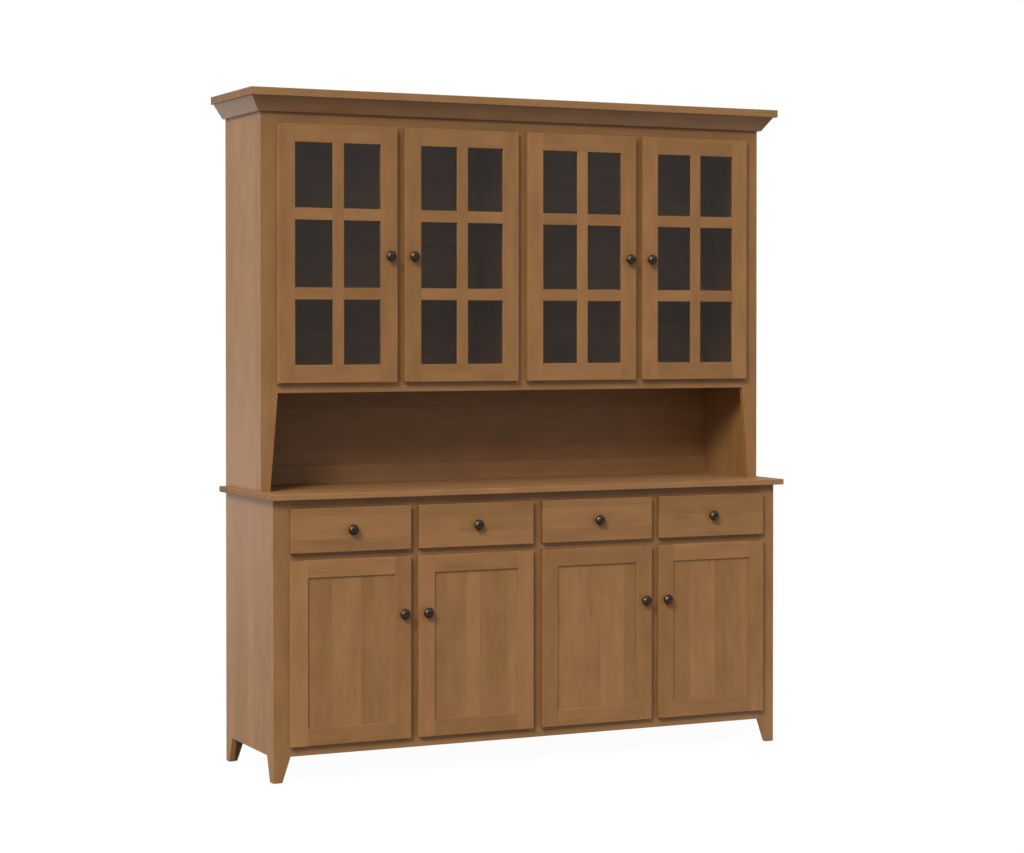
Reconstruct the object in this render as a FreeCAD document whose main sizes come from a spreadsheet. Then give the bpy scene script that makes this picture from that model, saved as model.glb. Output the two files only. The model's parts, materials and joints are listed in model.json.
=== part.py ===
"""Dresser with hutch: a four-bay wooden case piece as a parametric FreeCAD document.

Frame: +X to the right, +Y to the back, +Z up, millimetres. The origin is on the floor, midway between the
sides and midway between the tips of the base knobs and the flat back. Driving sizes are in the sheet
"dims", places worked out from them are in the variable set "places", and every piece is bound to both.
"""

import FreeCAD, Part

import os
import re

import Sketcher

# Driving sizes
SIZES = {
    # Case boards
    "case_width": 1829.0,
    "base_depth": 457.0,
    "hutch_depth": 344.0,
    "board_thick": 19.0,
    "frame_thick": 19.0,
    "back_thick": 6.0,
    "back_rabbet": 10.0,
    # Columns of doors and drawers across the front
    "end_margin": 52.5,
    "pair_gap": 26.5,
    "centre_gap": 33.0,
    "overlay": 6.0,
    "door_thick": 18.0,
    "door_gap": 2.0,
    # Base heights, from the floor up
    "foot_height": 81.0,
    "foot_width": 31.0,
    "bottom_reveal": 32.0,
    "base_door_height": 585.5,
    "drawer_gap": 22.0,
    "drawer_height": 140.5,
    "top_reveal": 28.0,
    "counter_thick": 19.0,
    "counter_front": 30.0,
    "counter_side": 23.0,
    "leg_block_thick": 19.0,
    # Hutch heights, from the countertop up
    "niche_height": 313.0,
    "niche_foot_width": 33.0,
    "niche_rail_height": 62.0,
    "niche_rail_thick": 12.0,
    "hutch_bottom_reveal": 31.5,
    "hutch_door_height": 826.0,
    "hutch_top_reveal": 36.0,
    "crown_height": 46.5,
    "crown_lip": 10.0,
    "crown_reach": 41.0,
    "cap_thick": 25.0,
    "cap_front": 57.0,
    "cap_side": 50.0,
    # Glazed doors
    "lite_stile": 58.0,
    "lite_recess": 6.0,
    "lite_rabbet": 9.0,
    "muntin_width": 38.5,
    "middle_lite_height": 215.5,
    "glass_thick": 3.0,
    "glass_play": 1.0,
    # Panelled doors
    "panel_stile": 57.0,
    "panel_recess": 6.0,
    "panel_thick": 6.0,
    "panel_groove": 8.0,
    "panel_play": 1.0,
    # Drawers
    "drawer_side_thick": 12.5,
    "drawer_box_height": 102.0,
    "drawer_box_depth": 400.0,
    "drawer_bottom_thick": 6.0,
    "drawer_bottom_lift": 10.0,
    "drawer_groove": 6.0,
    "drawer_side_play": 1.5,
    "drawer_slide_play": 0.3,
    "drawer_bottom_play": 0.5,
    "dovetail_pin": 7.0,
    "dovetail_flare": 1.5,
    "guide_height": 40.0,
    # Shelves and the cleats under them
    "shelf_thick": 19.0,
    "shelf_play": 1.0,
    "base_shelf_rise": 290.0,
    "base_shelf_setback": 60.0,
    "hutch_shelf_setback": 12.0,
    "cleat_size": 19.0,
    # Pivot hinges
    "hinge_inset": 6.0,
    "hinge_relief": 3.0,
    "hinge_gap": 0.5,
    "hinge_plate_thick": 2.0,
    "hinge_plate_width": 12.0,
    "hinge_plate_land": 4.0,
    "hinge_leaf_thick": 1.2,
    "hinge_leaf_height": 44.0,
    "hinge_wrap_depth": 15.0,
    "hinge_wrap_play": 2.0,
    "hinge_pin_diameter": 4.0,
    "hinge_pin_length": 12.0,
    "hinge_pin_play": 0.05,
    "hinge_bore_spare": 1.0,
    # Knobs
    "knob_diameter": 35.0,
    "knob_length": 27.0,
    "knob_base_diameter": 22.0,
    "knob_neck_diameter": 12.5,
    "knob_neck_depth": 9.0,
    "knob_rim_depth": 16.0,
    "knob_rim_width": 2.5,
    "knob_edge_inset": 28.0,
    "hutch_knob_rise": 408.0,
    "base_knob_drop": 184.5,
}

# Places and shared sizes worked out from the driving sizes, in order
PLACES = {
    "half_width": "case_width / 2",
    "inner_half": "half_width - board_thick",
    "door_front": "door_gap + door_thick",
    "back_y": "(base_depth + door_front + knob_length) / 2",
    "panel_y": "back_y - back_thick",
    "face_y": "back_y - base_depth",
    "frame_back_y": "face_y + frame_thick",
    "hutch_face_y": "back_y - hutch_depth",
    "hutch_frame_back_y": "hutch_face_y + frame_thick",
    "door_width": "(case_width - 2 * end_margin - 2 * pair_gap - centre_gap) / 4",
    "column_left_outer": "-half_width + end_margin",
    "column_left_inner": "-centre_gap / 2 - door_width",
    "column_right_inner": "centre_gap / 2",
    "column_right_outer": "half_width - end_margin - door_width",
    "leg_width": "end_margin + overlay",
    "pair_x": "column_right_outer - pair_gap / 2",
    "opening_width": "door_width - 2 * overlay",
    "base_door_z": "foot_height + bottom_reveal",
    "floor_z": "base_door_z + overlay",
    "drawer_rail_z": "base_door_z + base_door_height - overlay",
    "drawer_z": "base_door_z + base_door_height + drawer_gap",
    "deck_z": "drawer_z + overlay",
    "top_rail_z": "drawer_z + drawer_height - overlay",
    "case_z": "drawer_z + drawer_height + top_reveal",
    "counter_z": "case_z + counter_thick",
    "niche_z": "counter_z + niche_height",
    "hutch_door_z": "niche_z + hutch_bottom_reveal",
    "hutch_floor_z": "hutch_door_z + overlay",
    "hutch_top_rail_z": "hutch_door_z + hutch_door_height - overlay",
    "crown_z": "hutch_door_z + hutch_door_height + hutch_top_reveal",
    "cap_z": "crown_z + crown_height",
    "lite_width": "(door_width - 2 * lite_stile - muntin_width) / 2",
    "lite_height": "(hutch_door_height - 2 * lite_stile - 2 * muntin_width - middle_lite_height) / 2",
    "lower_muntin_z": "lite_stile + lite_height",
    "upper_muntin_z": "lower_muntin_z + muntin_width + middle_lite_height",
    "lite_shoulder_y": "-door_front + lite_recess",
    "stop_y": "lite_shoulder_y + glass_thick",
    "panel_front_y": "-door_front + panel_recess",
    "panel_rear_y": "panel_front_y + panel_thick",
    "muntin_to_shelf": "(muntin_width - shelf_thick) / 2",
    "lower_shelf_z": "hutch_door_z + lower_muntin_z + muntin_to_shelf",
    "upper_shelf_z": "hutch_door_z + upper_muntin_z + muntin_to_shelf",
    "base_shelf_z": "floor_z + base_shelf_rise",
    "pivot_y": "-door_front + hinge_inset",
    "bore_depth": "hinge_pin_length - hinge_gap + hinge_bore_spare",
    "box_half": "opening_width / 2 - drawer_side_play",
    "box_inner_half": "box_half - drawer_side_thick",
    "box_z": "overlay + drawer_slide_play",
    "box_bottom_z": "box_z + drawer_bottom_lift",
    "box_bottom_top_z": "box_bottom_z + drawer_bottom_thick",
    "box_top_z": "box_z + drawer_box_height",
    "box_rear_y": "drawer_box_depth - door_gap",
    "box_inner_front_y": "-door_gap + drawer_side_thick",
    "box_inner_rear_y": "box_rear_y - drawer_side_thick",
    "pin_pitch": "(box_top_z - box_bottom_top_z) / 3",
}

# Each column of the front: number, left edge and whether its doors hang on their left edge
COLUMNS = (
    (1, "column_left_outer", True),
    (2, "column_left_inner", False),
    (3, "column_right_inner", True),
    (4, "column_right_outer", False),
)

MIRROR_X = FreeCAD.Vector(1, 0, 0)
MIRROR_Z = FreeCAD.Vector(0, 0, 1)

doc = FreeCAD.newDocument("dresser_with_hutch")
dims = doc.addObject("Spreadsheet::Sheet", "dims")
for row, (alias, value) in enumerate(SIZES.items(), start=1):
    dims.set(f"A{row}", alias)
    dims.set(f"B{row}", str(value))
    dims.setAlias(f"B{row}", alias)
doc.recompute()


def bound(text):
    """Turn an expression in plain size names into one that names the sheet or the set that holds each."""
    def owner(match):
        return ("places." if match[0] in PLACES else "dims.") + match[0]
    return re.sub(r"[a-z][a-z_]*", owner, text)


places = doc.addObject("App::VarSet", "places")
for place_name, place_text in PLACES.items():
    places.addProperty("App::PropertyFloat", place_name)
    places.setExpression(place_name, bound(place_text))
doc.recompute()

nodes = []


def bind(piece, **texts):
    """Bind properties of a piece to expressions in plain size names."""
    for prop, text in texts.items():
        piece.setExpression(prop, bound(text))
    return piece


def place(piece, x="0", y="0", z="0"):
    """Bind a piece's position."""
    for axis, text in zip("xyz", (x, y, z)):
        piece.setExpression(f"Placement.Base.{axis}", bound(text))
    return piece


def board(name, x, y, z):
    """A plain board: each axis gives its start and its size."""
    piece = doc.addObject("Part::Box", name)
    bind(piece, Length=x[1], Width=y[1], Height=z[1])
    return place(piece, x[0], y[0], z[0])


def span(start, end):
    """Start and size of the stretch between two places."""
    return start, f"({end}) - ({start})"


def fused(name, *pieces):
    """One solid from several that overlap."""
    piece = doc.addObject("Part::MultiFuse", name)
    piece.Shapes = list(pieces)
    piece.Refine = True
    return piece


def cut(name, base, tool):
    """One solid with the room of another taken out."""
    piece = doc.addObject("Part::Cut", name)
    piece.Base = base
    piece.Tool = tool
    return piece


def mirrored(name, source, normal=MIRROR_X):
    """The mirror image of a piece in the plane through the origin with this normal."""
    piece = doc.addObject("Part::Mirroring", name)
    piece.Source = source
    piece.Normal = normal
    return piece


def group(name, pieces, x="0", y="0", z="0"):
    """Several solids held together and moved as one."""
    piece = doc.addObject("Part::Compound", name)
    piece.Links = list(pieces)
    return place(piece, x, y, z)


def node(name, *pieces, x="0", y="0", z="0"):
    """A sub-part of the dresser, written to its own file."""
    piece = group(name, pieces, x, y, z)
    piece.Label = name
    nodes.append(piece)
    return piece


def new_sketch(body, name, plane, lift="0"):
    """A sketch on one of its body's origin planes, or lifted off it along the plane's normal."""
    sketch = body.newObject("Sketcher::SketchObject", name)
    support = next(f for f in body.Origin.OriginFeatures if f.Role == plane)
    sketch.AttachmentSupport = [(support, "")]
    sketch.MapMode = "FlatFace"
    sketch.setExpression("AttachmentOffset.Base.z", bound(lift))
    return sketch


def constrain_point(sketch, line, text_x, text_y):
    """Tie the first point of a line to its place, measured from the sketch's origin."""
    for kind, text in (("DistanceX", text_x), ("DistanceY", text_y)):
        value = float(dims.evalExpression(bound(text)))
        index = sketch.addConstraint(Sketcher.Constraint(kind, -1, 1, line, 1, value))
        sketch.renameConstraint(index, f"{kind}_{line}")
        sketch.setExpression(f"Constraints.{kind}_{line}", bound(text))


def outline(sketch, *points):
    """Add one closed outline of straight lines to a sketch."""
    first = sketch.GeometryCount
    count = len(points)
    values = [FreeCAD.Vector(*(float(dims.evalExpression(bound(t))) for t in point), 0) for point in points]
    for k in range(count):
        sketch.addGeometry(Part.LineSegment(values[k], values[(k + 1) % count]), False)
    for k in range(count):
        sketch.addConstraint(Sketcher.Constraint("Coincident", first + k, 2, first + (k + 1) % count, 1))
    for k, point in enumerate(points):
        constrain_point(sketch, first + k, *point)


def profile_prisms(name, plane, length, outlines):
    """A body of constant section: outlines on an origin plane, padded along the plane's normal."""
    body = doc.addObject("PartDesign::Body", name)
    sketch = new_sketch(body, f"{name}_section", plane)
    for points in outlines:
        outline(sketch, *points)
    pad = body.newObject("PartDesign::Pad", f"{name}_pad")
    pad.Profile = sketch
    bind(pad, Length=length)
    doc.recompute()
    return body


def profile_board(name, plane, length, *points):
    """A board of constant section with one outline."""
    return profile_prisms(name, plane, length, [points])


def check_cut(body, feature, volume):
    """Stop if a cut feature has missed the solid."""
    doc.recompute()
    if not body.Shape.Volume < volume:
        raise RuntimeError(f"{feature.Label} cuts nothing")


def pocket_up(body, name, lift, *outlines):
    """Cut outlines drawn on the ground plane upward through everything above a height."""
    volume = body.Shape.Volume
    sketch = new_sketch(body, f"{name}_sketch", "XY_Plane", lift)
    for points in outlines:
        outline(sketch, *points)
    pocket = body.newObject("PartDesign::Pocket", name)
    pocket.Profile = sketch
    pocket.Type = "ThroughAll"
    pocket.Reversed = True
    check_cut(body, pocket, volume)


def pivot_bore(body, name, height, downward):
    """A blind bore for a hinge pin in an end of a stile, at a height and pointing down or up."""
    volume = body.Shape.Volume
    sketch = new_sketch(body, f"{name}_sketch", "XY_Plane", height)
    x, y = (float(dims.evalExpression(bound(text))) for text in ("hinge_inset", "pivot_y"))
    radius = float(dims.evalExpression(bound("hinge_pin_diameter / 2 + hinge_pin_play")))
    axis = FreeCAD.Vector(0, 0, 1)
    sketch.addGeometry(Part.Circle(FreeCAD.Vector(x, y, 0), axis, radius), False)
    for kind, value, text in (("DistanceX", x, "hinge_inset"), ("DistanceY", y, "pivot_y")):
        index = sketch.addConstraint(Sketcher.Constraint(kind, -1, 1, 0, 3, value))
        sketch.renameConstraint(index, kind)
        sketch.setExpression(f"Constraints.{kind}", bound(text))
    index = sketch.addConstraint(Sketcher.Constraint("Radius", 0, radius))
    sketch.renameConstraint(index, "bore")
    sketch.setExpression("Constraints.bore", bound("hinge_pin_diameter / 2 + hinge_pin_play"))
    pocket = body.newObject("PartDesign::Pocket", name)
    pocket.Profile = sketch
    pocket.Reversed = not downward
    bind(pocket, Length="bore_depth")
    check_cut(body, pocket, volume)


def base_case():
    """Sides with cut-out feet, face frame, floor, partitions, back and shelves of the base."""
    across = span("-inner_half", "inner_half")
    deep = span("frame_back_y", "panel_y")

    left = profile_board(
        "base_side", "YZ_Plane", "board_thick",
        ("frame_back_y", "0"), ("face_y + foot_width", "0"), ("face_y + leg_width", "foot_height"),
        ("back_y - leg_width", "foot_height"), ("back_y - foot_width", "0"), ("back_y", "0"),
        ("back_y", "case_z"), ("frame_back_y", "case_z"))
    pocket_up(left, "base_side_rabbet", "foot_height", (
        ("board_thick - back_rabbet", "panel_y"), ("board_thick", "panel_y"),
        ("board_thick", "back_y"), ("board_thick - back_rabbet", "back_y")))
    place(left, x="-half_width")
    node("base_side_left", left)
    node("base_side_right", mirrored("base_side_mirror", left))

    end_stile = profile_board(
        "base_end_stile", "XZ_Plane", "frame_thick",
        ("-half_width", "0"), ("-half_width + foot_width", "0"), ("-half_width + leg_width", "foot_height"),
        ("-half_width + leg_width", "case_z"), ("-half_width", "case_z"))
    place(end_stile, y="frame_back_y")
    front = ("face_y", "frame_thick")
    tall = span("floor_z", "top_rail_z")
    pair_stile = board(
        "base_pair_stile", ("pair_x - pair_gap / 2 - overlay", "pair_gap + 2 * overlay"), front, tall)
    centre_stile = board(
        "base_centre_stile", ("-centre_gap / 2 - overlay", "centre_gap + 2 * overlay"), front, tall)
    node("base_frame_stiles", end_stile, mirrored("base_end_stile_mirror", end_stile), centre_stile,
         pair_stile, mirrored("base_pair_stile_mirror", pair_stile))

    between = span("-half_width + leg_width", "half_width - leg_width")
    rails = [
        board("base_bottom_rail", between, front, span("foot_height", "floor_z")),
        board("base_top_rail", between, front, span("top_rail_z", "case_z")),
    ]
    for number, column, _ in COLUMNS:
        opening = (f"{column} + overlay", "opening_width")
        rails.append(board(f"drawer_rail_{number}", opening, front, span("drawer_rail_z", "deck_z")))
    node("base_frame_rails", *rails)

    node("base_bottom", board("base_floor", across, deep, ("floor_z - board_thick", "board_thick")))
    divider = board(
        "drawer_divider", ("pair_x - board_thick / 2", "board_thick"), deep, span("deck_z", "case_z"))
    centre = board(
        "base_centre_partition", ("-board_thick / 2", "board_thick"), deep, span("floor_z", "case_z"))
    node("base_partitions", centre, divider, mirrored("drawer_divider_mirror", divider))

    node("base_back", board(
        "base_back_panel", span("-inner_half - back_rabbet", "inner_half + back_rabbet"),
        ("panel_y", "back_thick"), span("foot_height", "case_z")))

    block = profile_board(
        "rear_leg_block", "XZ_Plane", "leg_block_thick",
        ("-inner_half", "0"), ("-half_width + foot_width", "0"), ("-half_width + leg_width", "foot_height"),
        ("-half_width + leg_width", "floor_z - board_thick"), ("-inner_half", "floor_z - board_thick"))
    place(block, y="panel_y")
    node("rear_leg_blocks", block, mirrored("rear_leg_block_mirror", block))

    shelf = board("base_shelf", span("board_thick / 2 + shelf_play", "inner_half - shelf_play"),
                  span("frame_back_y + base_shelf_setback", "panel_y"), ("base_shelf_z", "shelf_thick"))
    node("base_shelves", shelf, mirrored("base_shelf_mirror", shelf))

    node("countertop", board(
        "counter_board", span("-half_width - counter_side", "half_width + counter_side"),
        span("face_y - counter_front", "back_y"), ("case_z", "counter_thick")))


def drawer_runners():
    """Decks that the drawers slide on, with a guide strip along each side of each drawer."""
    deep = span("frame_back_y", "panel_y")
    deck = board(
        "drawer_deck", span("board_thick / 2", "inner_half"), deep, ("deck_z - board_thick", "board_thick"))
    high = ("deck_z", "guide_height")
    inner_end = "column_right_inner + overlay"
    outer_start = "column_right_outer + overlay"
    guides = [
        board("centre_guide", span("board_thick / 2", inner_end), deep, high),
        board("pair_inner_guide", span(f"{inner_end} + opening_width", "pair_x - board_thick / 2"),
              deep, high),
        board("pair_outer_guide", span("pair_x + board_thick / 2", outer_start), deep, high),
        board("side_guide", span(f"{outer_start} + opening_width", "inner_half"), deep, high),
    ]
    strips = [deck] + guides
    node("drawer_runners", *strips, *(mirrored(f"{strip.Name}_mirror", strip) for strip in strips))


def hutch_case():
    """Sides, face frame, floor, top, partition, back and shelves of the hutch."""
    across = span("-inner_half", "inner_half")
    deep = span("hutch_frame_back_y", "panel_y")

    left = profile_board(
        "hutch_side", "XY_Plane", "cap_z - counter_z",
        ("0", "hutch_frame_back_y"), ("board_thick", "hutch_frame_back_y"), ("board_thick", "panel_y"),
        ("board_thick - back_rabbet", "panel_y"), ("board_thick - back_rabbet", "back_y"), ("0", "back_y"))
    place(left, x="-half_width", z="counter_z")
    node("hutch_side_left", left)
    node("hutch_side_right", mirrored("hutch_side_mirror", left))

    end_stile = profile_board(
        "hutch_end_stile", "XZ_Plane", "frame_thick",
        ("-half_width", "counter_z"), ("-half_width + niche_foot_width", "counter_z"),
        ("-half_width + leg_width", "niche_z"), ("-half_width + leg_width", "cap_z"),
        ("-half_width", "cap_z"))
    place(end_stile, y="hutch_frame_back_y")
    front = ("hutch_face_y", "frame_thick")
    tall = span("hutch_floor_z", "hutch_top_rail_z")
    pair_stile = board(
        "hutch_pair_stile", ("pair_x - pair_gap / 2 - overlay", "pair_gap + 2 * overlay"), front, tall)
    centre_stile = board(
        "hutch_centre_stile", ("-centre_gap / 2 - overlay", "centre_gap + 2 * overlay"), front, tall)
    node("hutch_frame_stiles", end_stile, mirrored("hutch_end_stile_mirror", end_stile), centre_stile,
         pair_stile, mirrored("hutch_pair_stile_mirror", pair_stile))

    between = span("-half_width + leg_width", "half_width - leg_width")
    node("hutch_frame_rails",
         board("hutch_bottom_rail", between, front, span("niche_z", "hutch_floor_z")),
         board("hutch_top_rail", between, front, span("hutch_top_rail_z", "cap_z")))

    node("hutch_bottom", board("hutch_floor", across, deep, ("hutch_floor_z - board_thick", "board_thick")))
    node("hutch_top", board("hutch_roof", across, deep, ("cap_z - board_thick", "board_thick")))
    node("hutch_partition", board(
        "hutch_centre_partition", ("-board_thick / 2", "board_thick"), deep,
        span("hutch_floor_z", "cap_z - board_thick")))

    node("hutch_back",
         board("hutch_back_panel", span("-inner_half - back_rabbet", "inner_half + back_rabbet"),
               ("panel_y", "back_thick"), span("counter_z", "cap_z")),
         board("niche_rail", across, ("panel_y - niche_rail_thick", "niche_rail_thick"),
               ("counter_z", "niche_rail_height")))

    bay = span("board_thick / 2 + shelf_play", "inner_half - shelf_play")
    shelf_deep = span("hutch_frame_back_y + hutch_shelf_setback", "panel_y")
    lower = board("lower_shelf", bay, shelf_deep, ("lower_shelf_z", "shelf_thick"))
    upper = board("upper_shelf", bay, shelf_deep, ("upper_shelf_z", "shelf_thick"))
    node("hutch_shelves", lower, upper,
         mirrored("lower_shelf_mirror", lower), mirrored("upper_shelf_mirror", upper))


def shelf_cleats():
    """Strips on the sides and partitions that carry the ends of every shelf."""
    levels = (
        ("base", "base_shelf_z", span("frame_back_y + base_shelf_setback", "panel_y")),
        ("lower", "lower_shelf_z", span("hutch_frame_back_y + hutch_shelf_setback", "panel_y")),
        ("upper", "upper_shelf_z", span("hutch_frame_back_y + hutch_shelf_setback", "panel_y")),
    )
    strips = []
    for level, shelf_z, deep in levels:
        high = (f"{shelf_z} - cleat_size", "cleat_size")
        strips.append(board(f"{level}_inner_cleat", ("board_thick / 2", "cleat_size"), deep, high))
        strips.append(board(f"{level}_outer_cleat", ("inner_half - cleat_size", "cleat_size"), deep, high))
    node("shelf_cleats", *strips, *(mirrored(f"{strip.Name}_mirror", strip) for strip in strips))


def crown():
    """Sloped crown moulding with mitred returns, and the cap board on top."""
    run = "case_width + 2 * crown_reach"
    front = profile_board(
        "crown_front", "YZ_Plane", run,
        ("hutch_face_y", "crown_z"), ("hutch_face_y - crown_lip", "crown_z"),
        ("hutch_face_y - crown_reach", "cap_z"), ("hutch_face_y", "cap_z"))
    pocket_up(
        front, "crown_front_mitres", "0",
        (("crown_reach", "hutch_face_y"), ("0", "hutch_face_y"), ("0", "hutch_face_y - crown_reach")),
        ((f"{run} - crown_reach", "hutch_face_y"), (run, "hutch_face_y"),
         (run, "hutch_face_y - crown_reach")))
    place(front, x="-half_width - crown_reach")

    # The section plane's normal points to the front, so the return runs forward from the back
    left = profile_board(
        "crown_return", "XZ_Plane", "hutch_depth + crown_reach",
        ("-half_width", "crown_z"), ("-half_width - crown_lip", "crown_z"),
        ("-half_width - crown_reach", "cap_z"), ("-half_width", "cap_z"))
    pocket_up(left, "crown_return_mitre", "0", (
        ("-half_width", "-hutch_depth"), ("-half_width", "-hutch_depth - crown_reach"),
        ("-half_width - crown_reach", "-hutch_depth - crown_reach")))
    place(left, y="back_y")
    node("crown_moulding", front, left, mirrored("crown_return_mirror", left))

    node("crown_cap", board(
        "cap_board", span("-half_width - cap_side", "half_width + cap_side"),
        span("hutch_face_y - cap_front", "back_y"), ("cap_z", "cap_thick")))


def knob_pattern():
    """A round knob turned about the Y axis, its base on the plane y = 0 and its dome to the front."""
    body = doc.addObject("PartDesign::Body", "knob")
    sketch = new_sketch(body, "knob_section", "XY_Plane")
    corners = (
        ("0", "0"), ("knob_base_diameter / 2", "0"), ("knob_neck_diameter / 2", "-knob_neck_depth"),
        ("knob_diameter / 2", "-knob_rim_depth"), ("knob_diameter / 2", "-knob_rim_depth - knob_rim_width"),
        ("0", "-knob_length"))
    points = [
        FreeCAD.Vector(*(float(dims.evalExpression(bound(t))) for t in corner), 0) for corner in corners]
    for k in range(4):
        sketch.addGeometry(Part.LineSegment(points[k], points[k + 1]), False)
    # The dome is an arc about a centre on the axis, square to the axis at the tip
    rim, tip = points[4], points[5]
    rise = rim.y - tip.y
    dome_radius = (rim.x ** 2 + rise ** 2) / (2 * rise)
    middle = FreeCAD.Vector(0, tip.y + dome_radius, 0)
    toward = (rim - middle).normalize() + (tip - middle).normalize()
    crest = middle + toward.normalize() * dome_radius
    dome = sketch.addGeometry(Part.Arc(rim, crest, tip), False)
    axis_line = sketch.addGeometry(Part.LineSegment(tip, points[0]), False)
    for k in range(3):
        sketch.addConstraint(Sketcher.Constraint("Coincident", k, 2, k + 1, 1))
    # An arc runs anticlockwise, so its first point is the tip and its second the rim
    sketch.addConstraint(Sketcher.Constraint("Coincident", 3, 2, dome, 2))
    sketch.addConstraint(Sketcher.Constraint("Coincident", dome, 1, axis_line, 1))
    sketch.addConstraint(Sketcher.Constraint("Coincident", axis_line, 2, 0, 1))
    sketch.addConstraint(Sketcher.Constraint("PointOnObject", dome, 3, -2))
    for k in range(4):
        constrain_point(sketch, k, *corners[k])
    index = sketch.addConstraint(Sketcher.Constraint("DistanceX", -1, 1, 3, 2, rim.x))
    sketch.renameConstraint(index, "rim_x")
    sketch.setExpression("Constraints.rim_x", bound(corners[4][0]))
    index = sketch.addConstraint(Sketcher.Constraint("DistanceY", -1, 1, 3, 2, rim.y))
    sketch.renameConstraint(index, "rim_y")
    sketch.setExpression("Constraints.rim_y", bound(corners[4][1]))
    constrain_point(sketch, axis_line, *corners[5])
    turned = body.newObject("PartDesign::Revolution", "knob_turning")
    turned.Profile = sketch
    turned.ReferenceAxis = (sketch, ["V_Axis"])
    turned.Angle = 360.0
    doc.recompute()
    return body


def hinge_pattern():
    """A bent-plate pivot hinge for the top left corner of a door, its origin on the door's top edge line."""
    top = span("hinge_gap", "hinge_gap + hinge_plate_thick")
    plate = board("hinge_plate", ("0", "hinge_plate_width"), span("pivot_y - hinge_plate_land", "0"), top)
    leaf_z = "hinge_gap + hinge_plate_thick - hinge_leaf_height"
    leaf = board("hinge_leaf", ("0", "overlay + hinge_leaf_thick"), ("-hinge_leaf_thick", "hinge_leaf_thick"),
                 span(leaf_z, "hinge_gap + hinge_plate_thick"))
    wrap = board("hinge_wrap", ("overlay", "hinge_leaf_thick"), span("-hinge_leaf_thick", "hinge_wrap_depth"),
                 span(leaf_z, "-overlay - hinge_wrap_play"))
    pin = doc.addObject("Part::Cylinder", "hinge_pin")
    bind(pin, Radius="hinge_pin_diameter / 2", Height="hinge_pin_length + hinge_plate_thick")
    place(pin, "hinge_inset", "pivot_y", "hinge_gap - hinge_pin_length")
    return fused("hinge_top", plate, leaf, wrap, pin)


def door_hinges(top):
    """A pair of pivot hinges for each of the eight doors."""
    bottom = mirrored("hinge_bottom", top, MIRROR_Z)
    hands = {
        True: (top, bottom),
        False: (mirrored("hinge_top_right", top), mirrored("hinge_bottom_right", bottom)),
    }
    tiers = (
        ("hutch", "hutch_face_y", "hutch_door_z", "hutch_door_height"),
        ("base", "face_y", "base_door_z", "base_door_height"),
    )
    hinges = []
    for tier, face, low, height in tiers:
        for number, column, hung_left in COLUMNS:
            edge = column if hung_left else f"{column} + door_width"
            upper, lower = hands[hung_left]
            hinges.append(group(f"{tier}_hinge_{number}_top", [upper], edge, face, f"{low} + {height}"))
            hinges.append(group(f"{tier}_hinge_{number}_bottom", [lower], edge, face, low))
    node("door_hinges", *hinges)


def glazed_door():
    """Frame pieces and glass of a hutch door that hangs on its left edge, from its lower left corner."""
    wide, high = "door_width", "hutch_door_height"
    hinge_stile = profile_board(
        "lite_hinge_stile", "XY_Plane", high,
        ("0", "-door_front"), ("lite_stile", "-door_front"), ("lite_stile", "lite_shoulder_y"),
        ("lite_stile - lite_rabbet", "lite_shoulder_y"), ("lite_stile - lite_rabbet", "-door_gap"),
        ("hinge_relief", "-door_gap"), ("0", "-door_gap - hinge_relief"))
    pivot_bore(hinge_stile, "lite_lower_bore", "0", False)
    pivot_bore(hinge_stile, "lite_upper_bore", high, True)
    free_stile = profile_board(
        "lite_free_stile", "XY_Plane", high,
        (f"{wide} - lite_stile", "-door_front"), (wide, "-door_front"), (wide, "-door_gap"),
        (f"{wide} - lite_stile + lite_rabbet", "-door_gap"),
        (f"{wide} - lite_stile + lite_rabbet", "lite_shoulder_y"),
        (f"{wide} - lite_stile", "lite_shoulder_y"))

    clear = span("lite_stile", f"{wide} - lite_stile")
    seat = span("lite_stile - lite_rabbet", f"{wide} - lite_stile + lite_rabbet")
    face = ("-door_front", "lite_recess")
    rear = span("lite_shoulder_y", "-door_gap")
    bottom_rail = fused(
        "lite_bottom_rail",
        board("lite_bottom_rail_face", clear, face, ("0", "lite_stile")),
        board("lite_bottom_rail_rear", seat, rear, ("0", "lite_stile - lite_rabbet")))
    top_rail = fused(
        "lite_top_rail",
        board("lite_top_rail_face", clear, face, (f"{high} - lite_stile", "lite_stile")),
        board("lite_top_rail_rear", seat, rear, span(f"{high} - lite_stile + lite_rabbet", high)))

    muntins = [board("lite_upright", ("lite_stile + lite_width", "muntin_width"), face,
                     span("lite_stile", f"{high} - lite_stile"))]
    for level, low in (("lower", "lower_muntin_z"), ("upper", "upper_muntin_z")):
        bar = (low, "muntin_width")
        muntins.append(board(f"{level}_left_muntin", ("lite_stile", "lite_width"), face, bar))
        muntins.append(board(
            f"{level}_right_muntin", ("lite_stile + lite_width + muntin_width", "lite_width"), face, bar))

    stop_deep = span("stop_y", "-door_gap")
    stop_high = span("lite_stile - lite_rabbet", f"{high} - lite_stile + lite_rabbet")
    stops = [
        board("left_stop", ("lite_stile - lite_rabbet", "lite_rabbet"), stop_deep, stop_high),
        board("right_stop", (f"{wide} - lite_stile", "lite_rabbet"), stop_deep, stop_high),
        board("lower_stop", clear, stop_deep, ("lite_stile - lite_rabbet", "lite_rabbet")),
        board("upper_stop", clear, stop_deep, (f"{high} - lite_stile", "lite_rabbet")),
    ]
    inset = "lite_stile - lite_rabbet + glass_play"
    glass = board("lite_glass", span(inset, f"{wide} - ({inset})"), ("lite_shoulder_y", "glass_thick"),
                  span(inset, f"{high} - ({inset})"))
    frame = group("lite_frame", [hinge_stile, free_stile, bottom_rail, top_rail] + muntins + stops)
    return frame, glass


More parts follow.
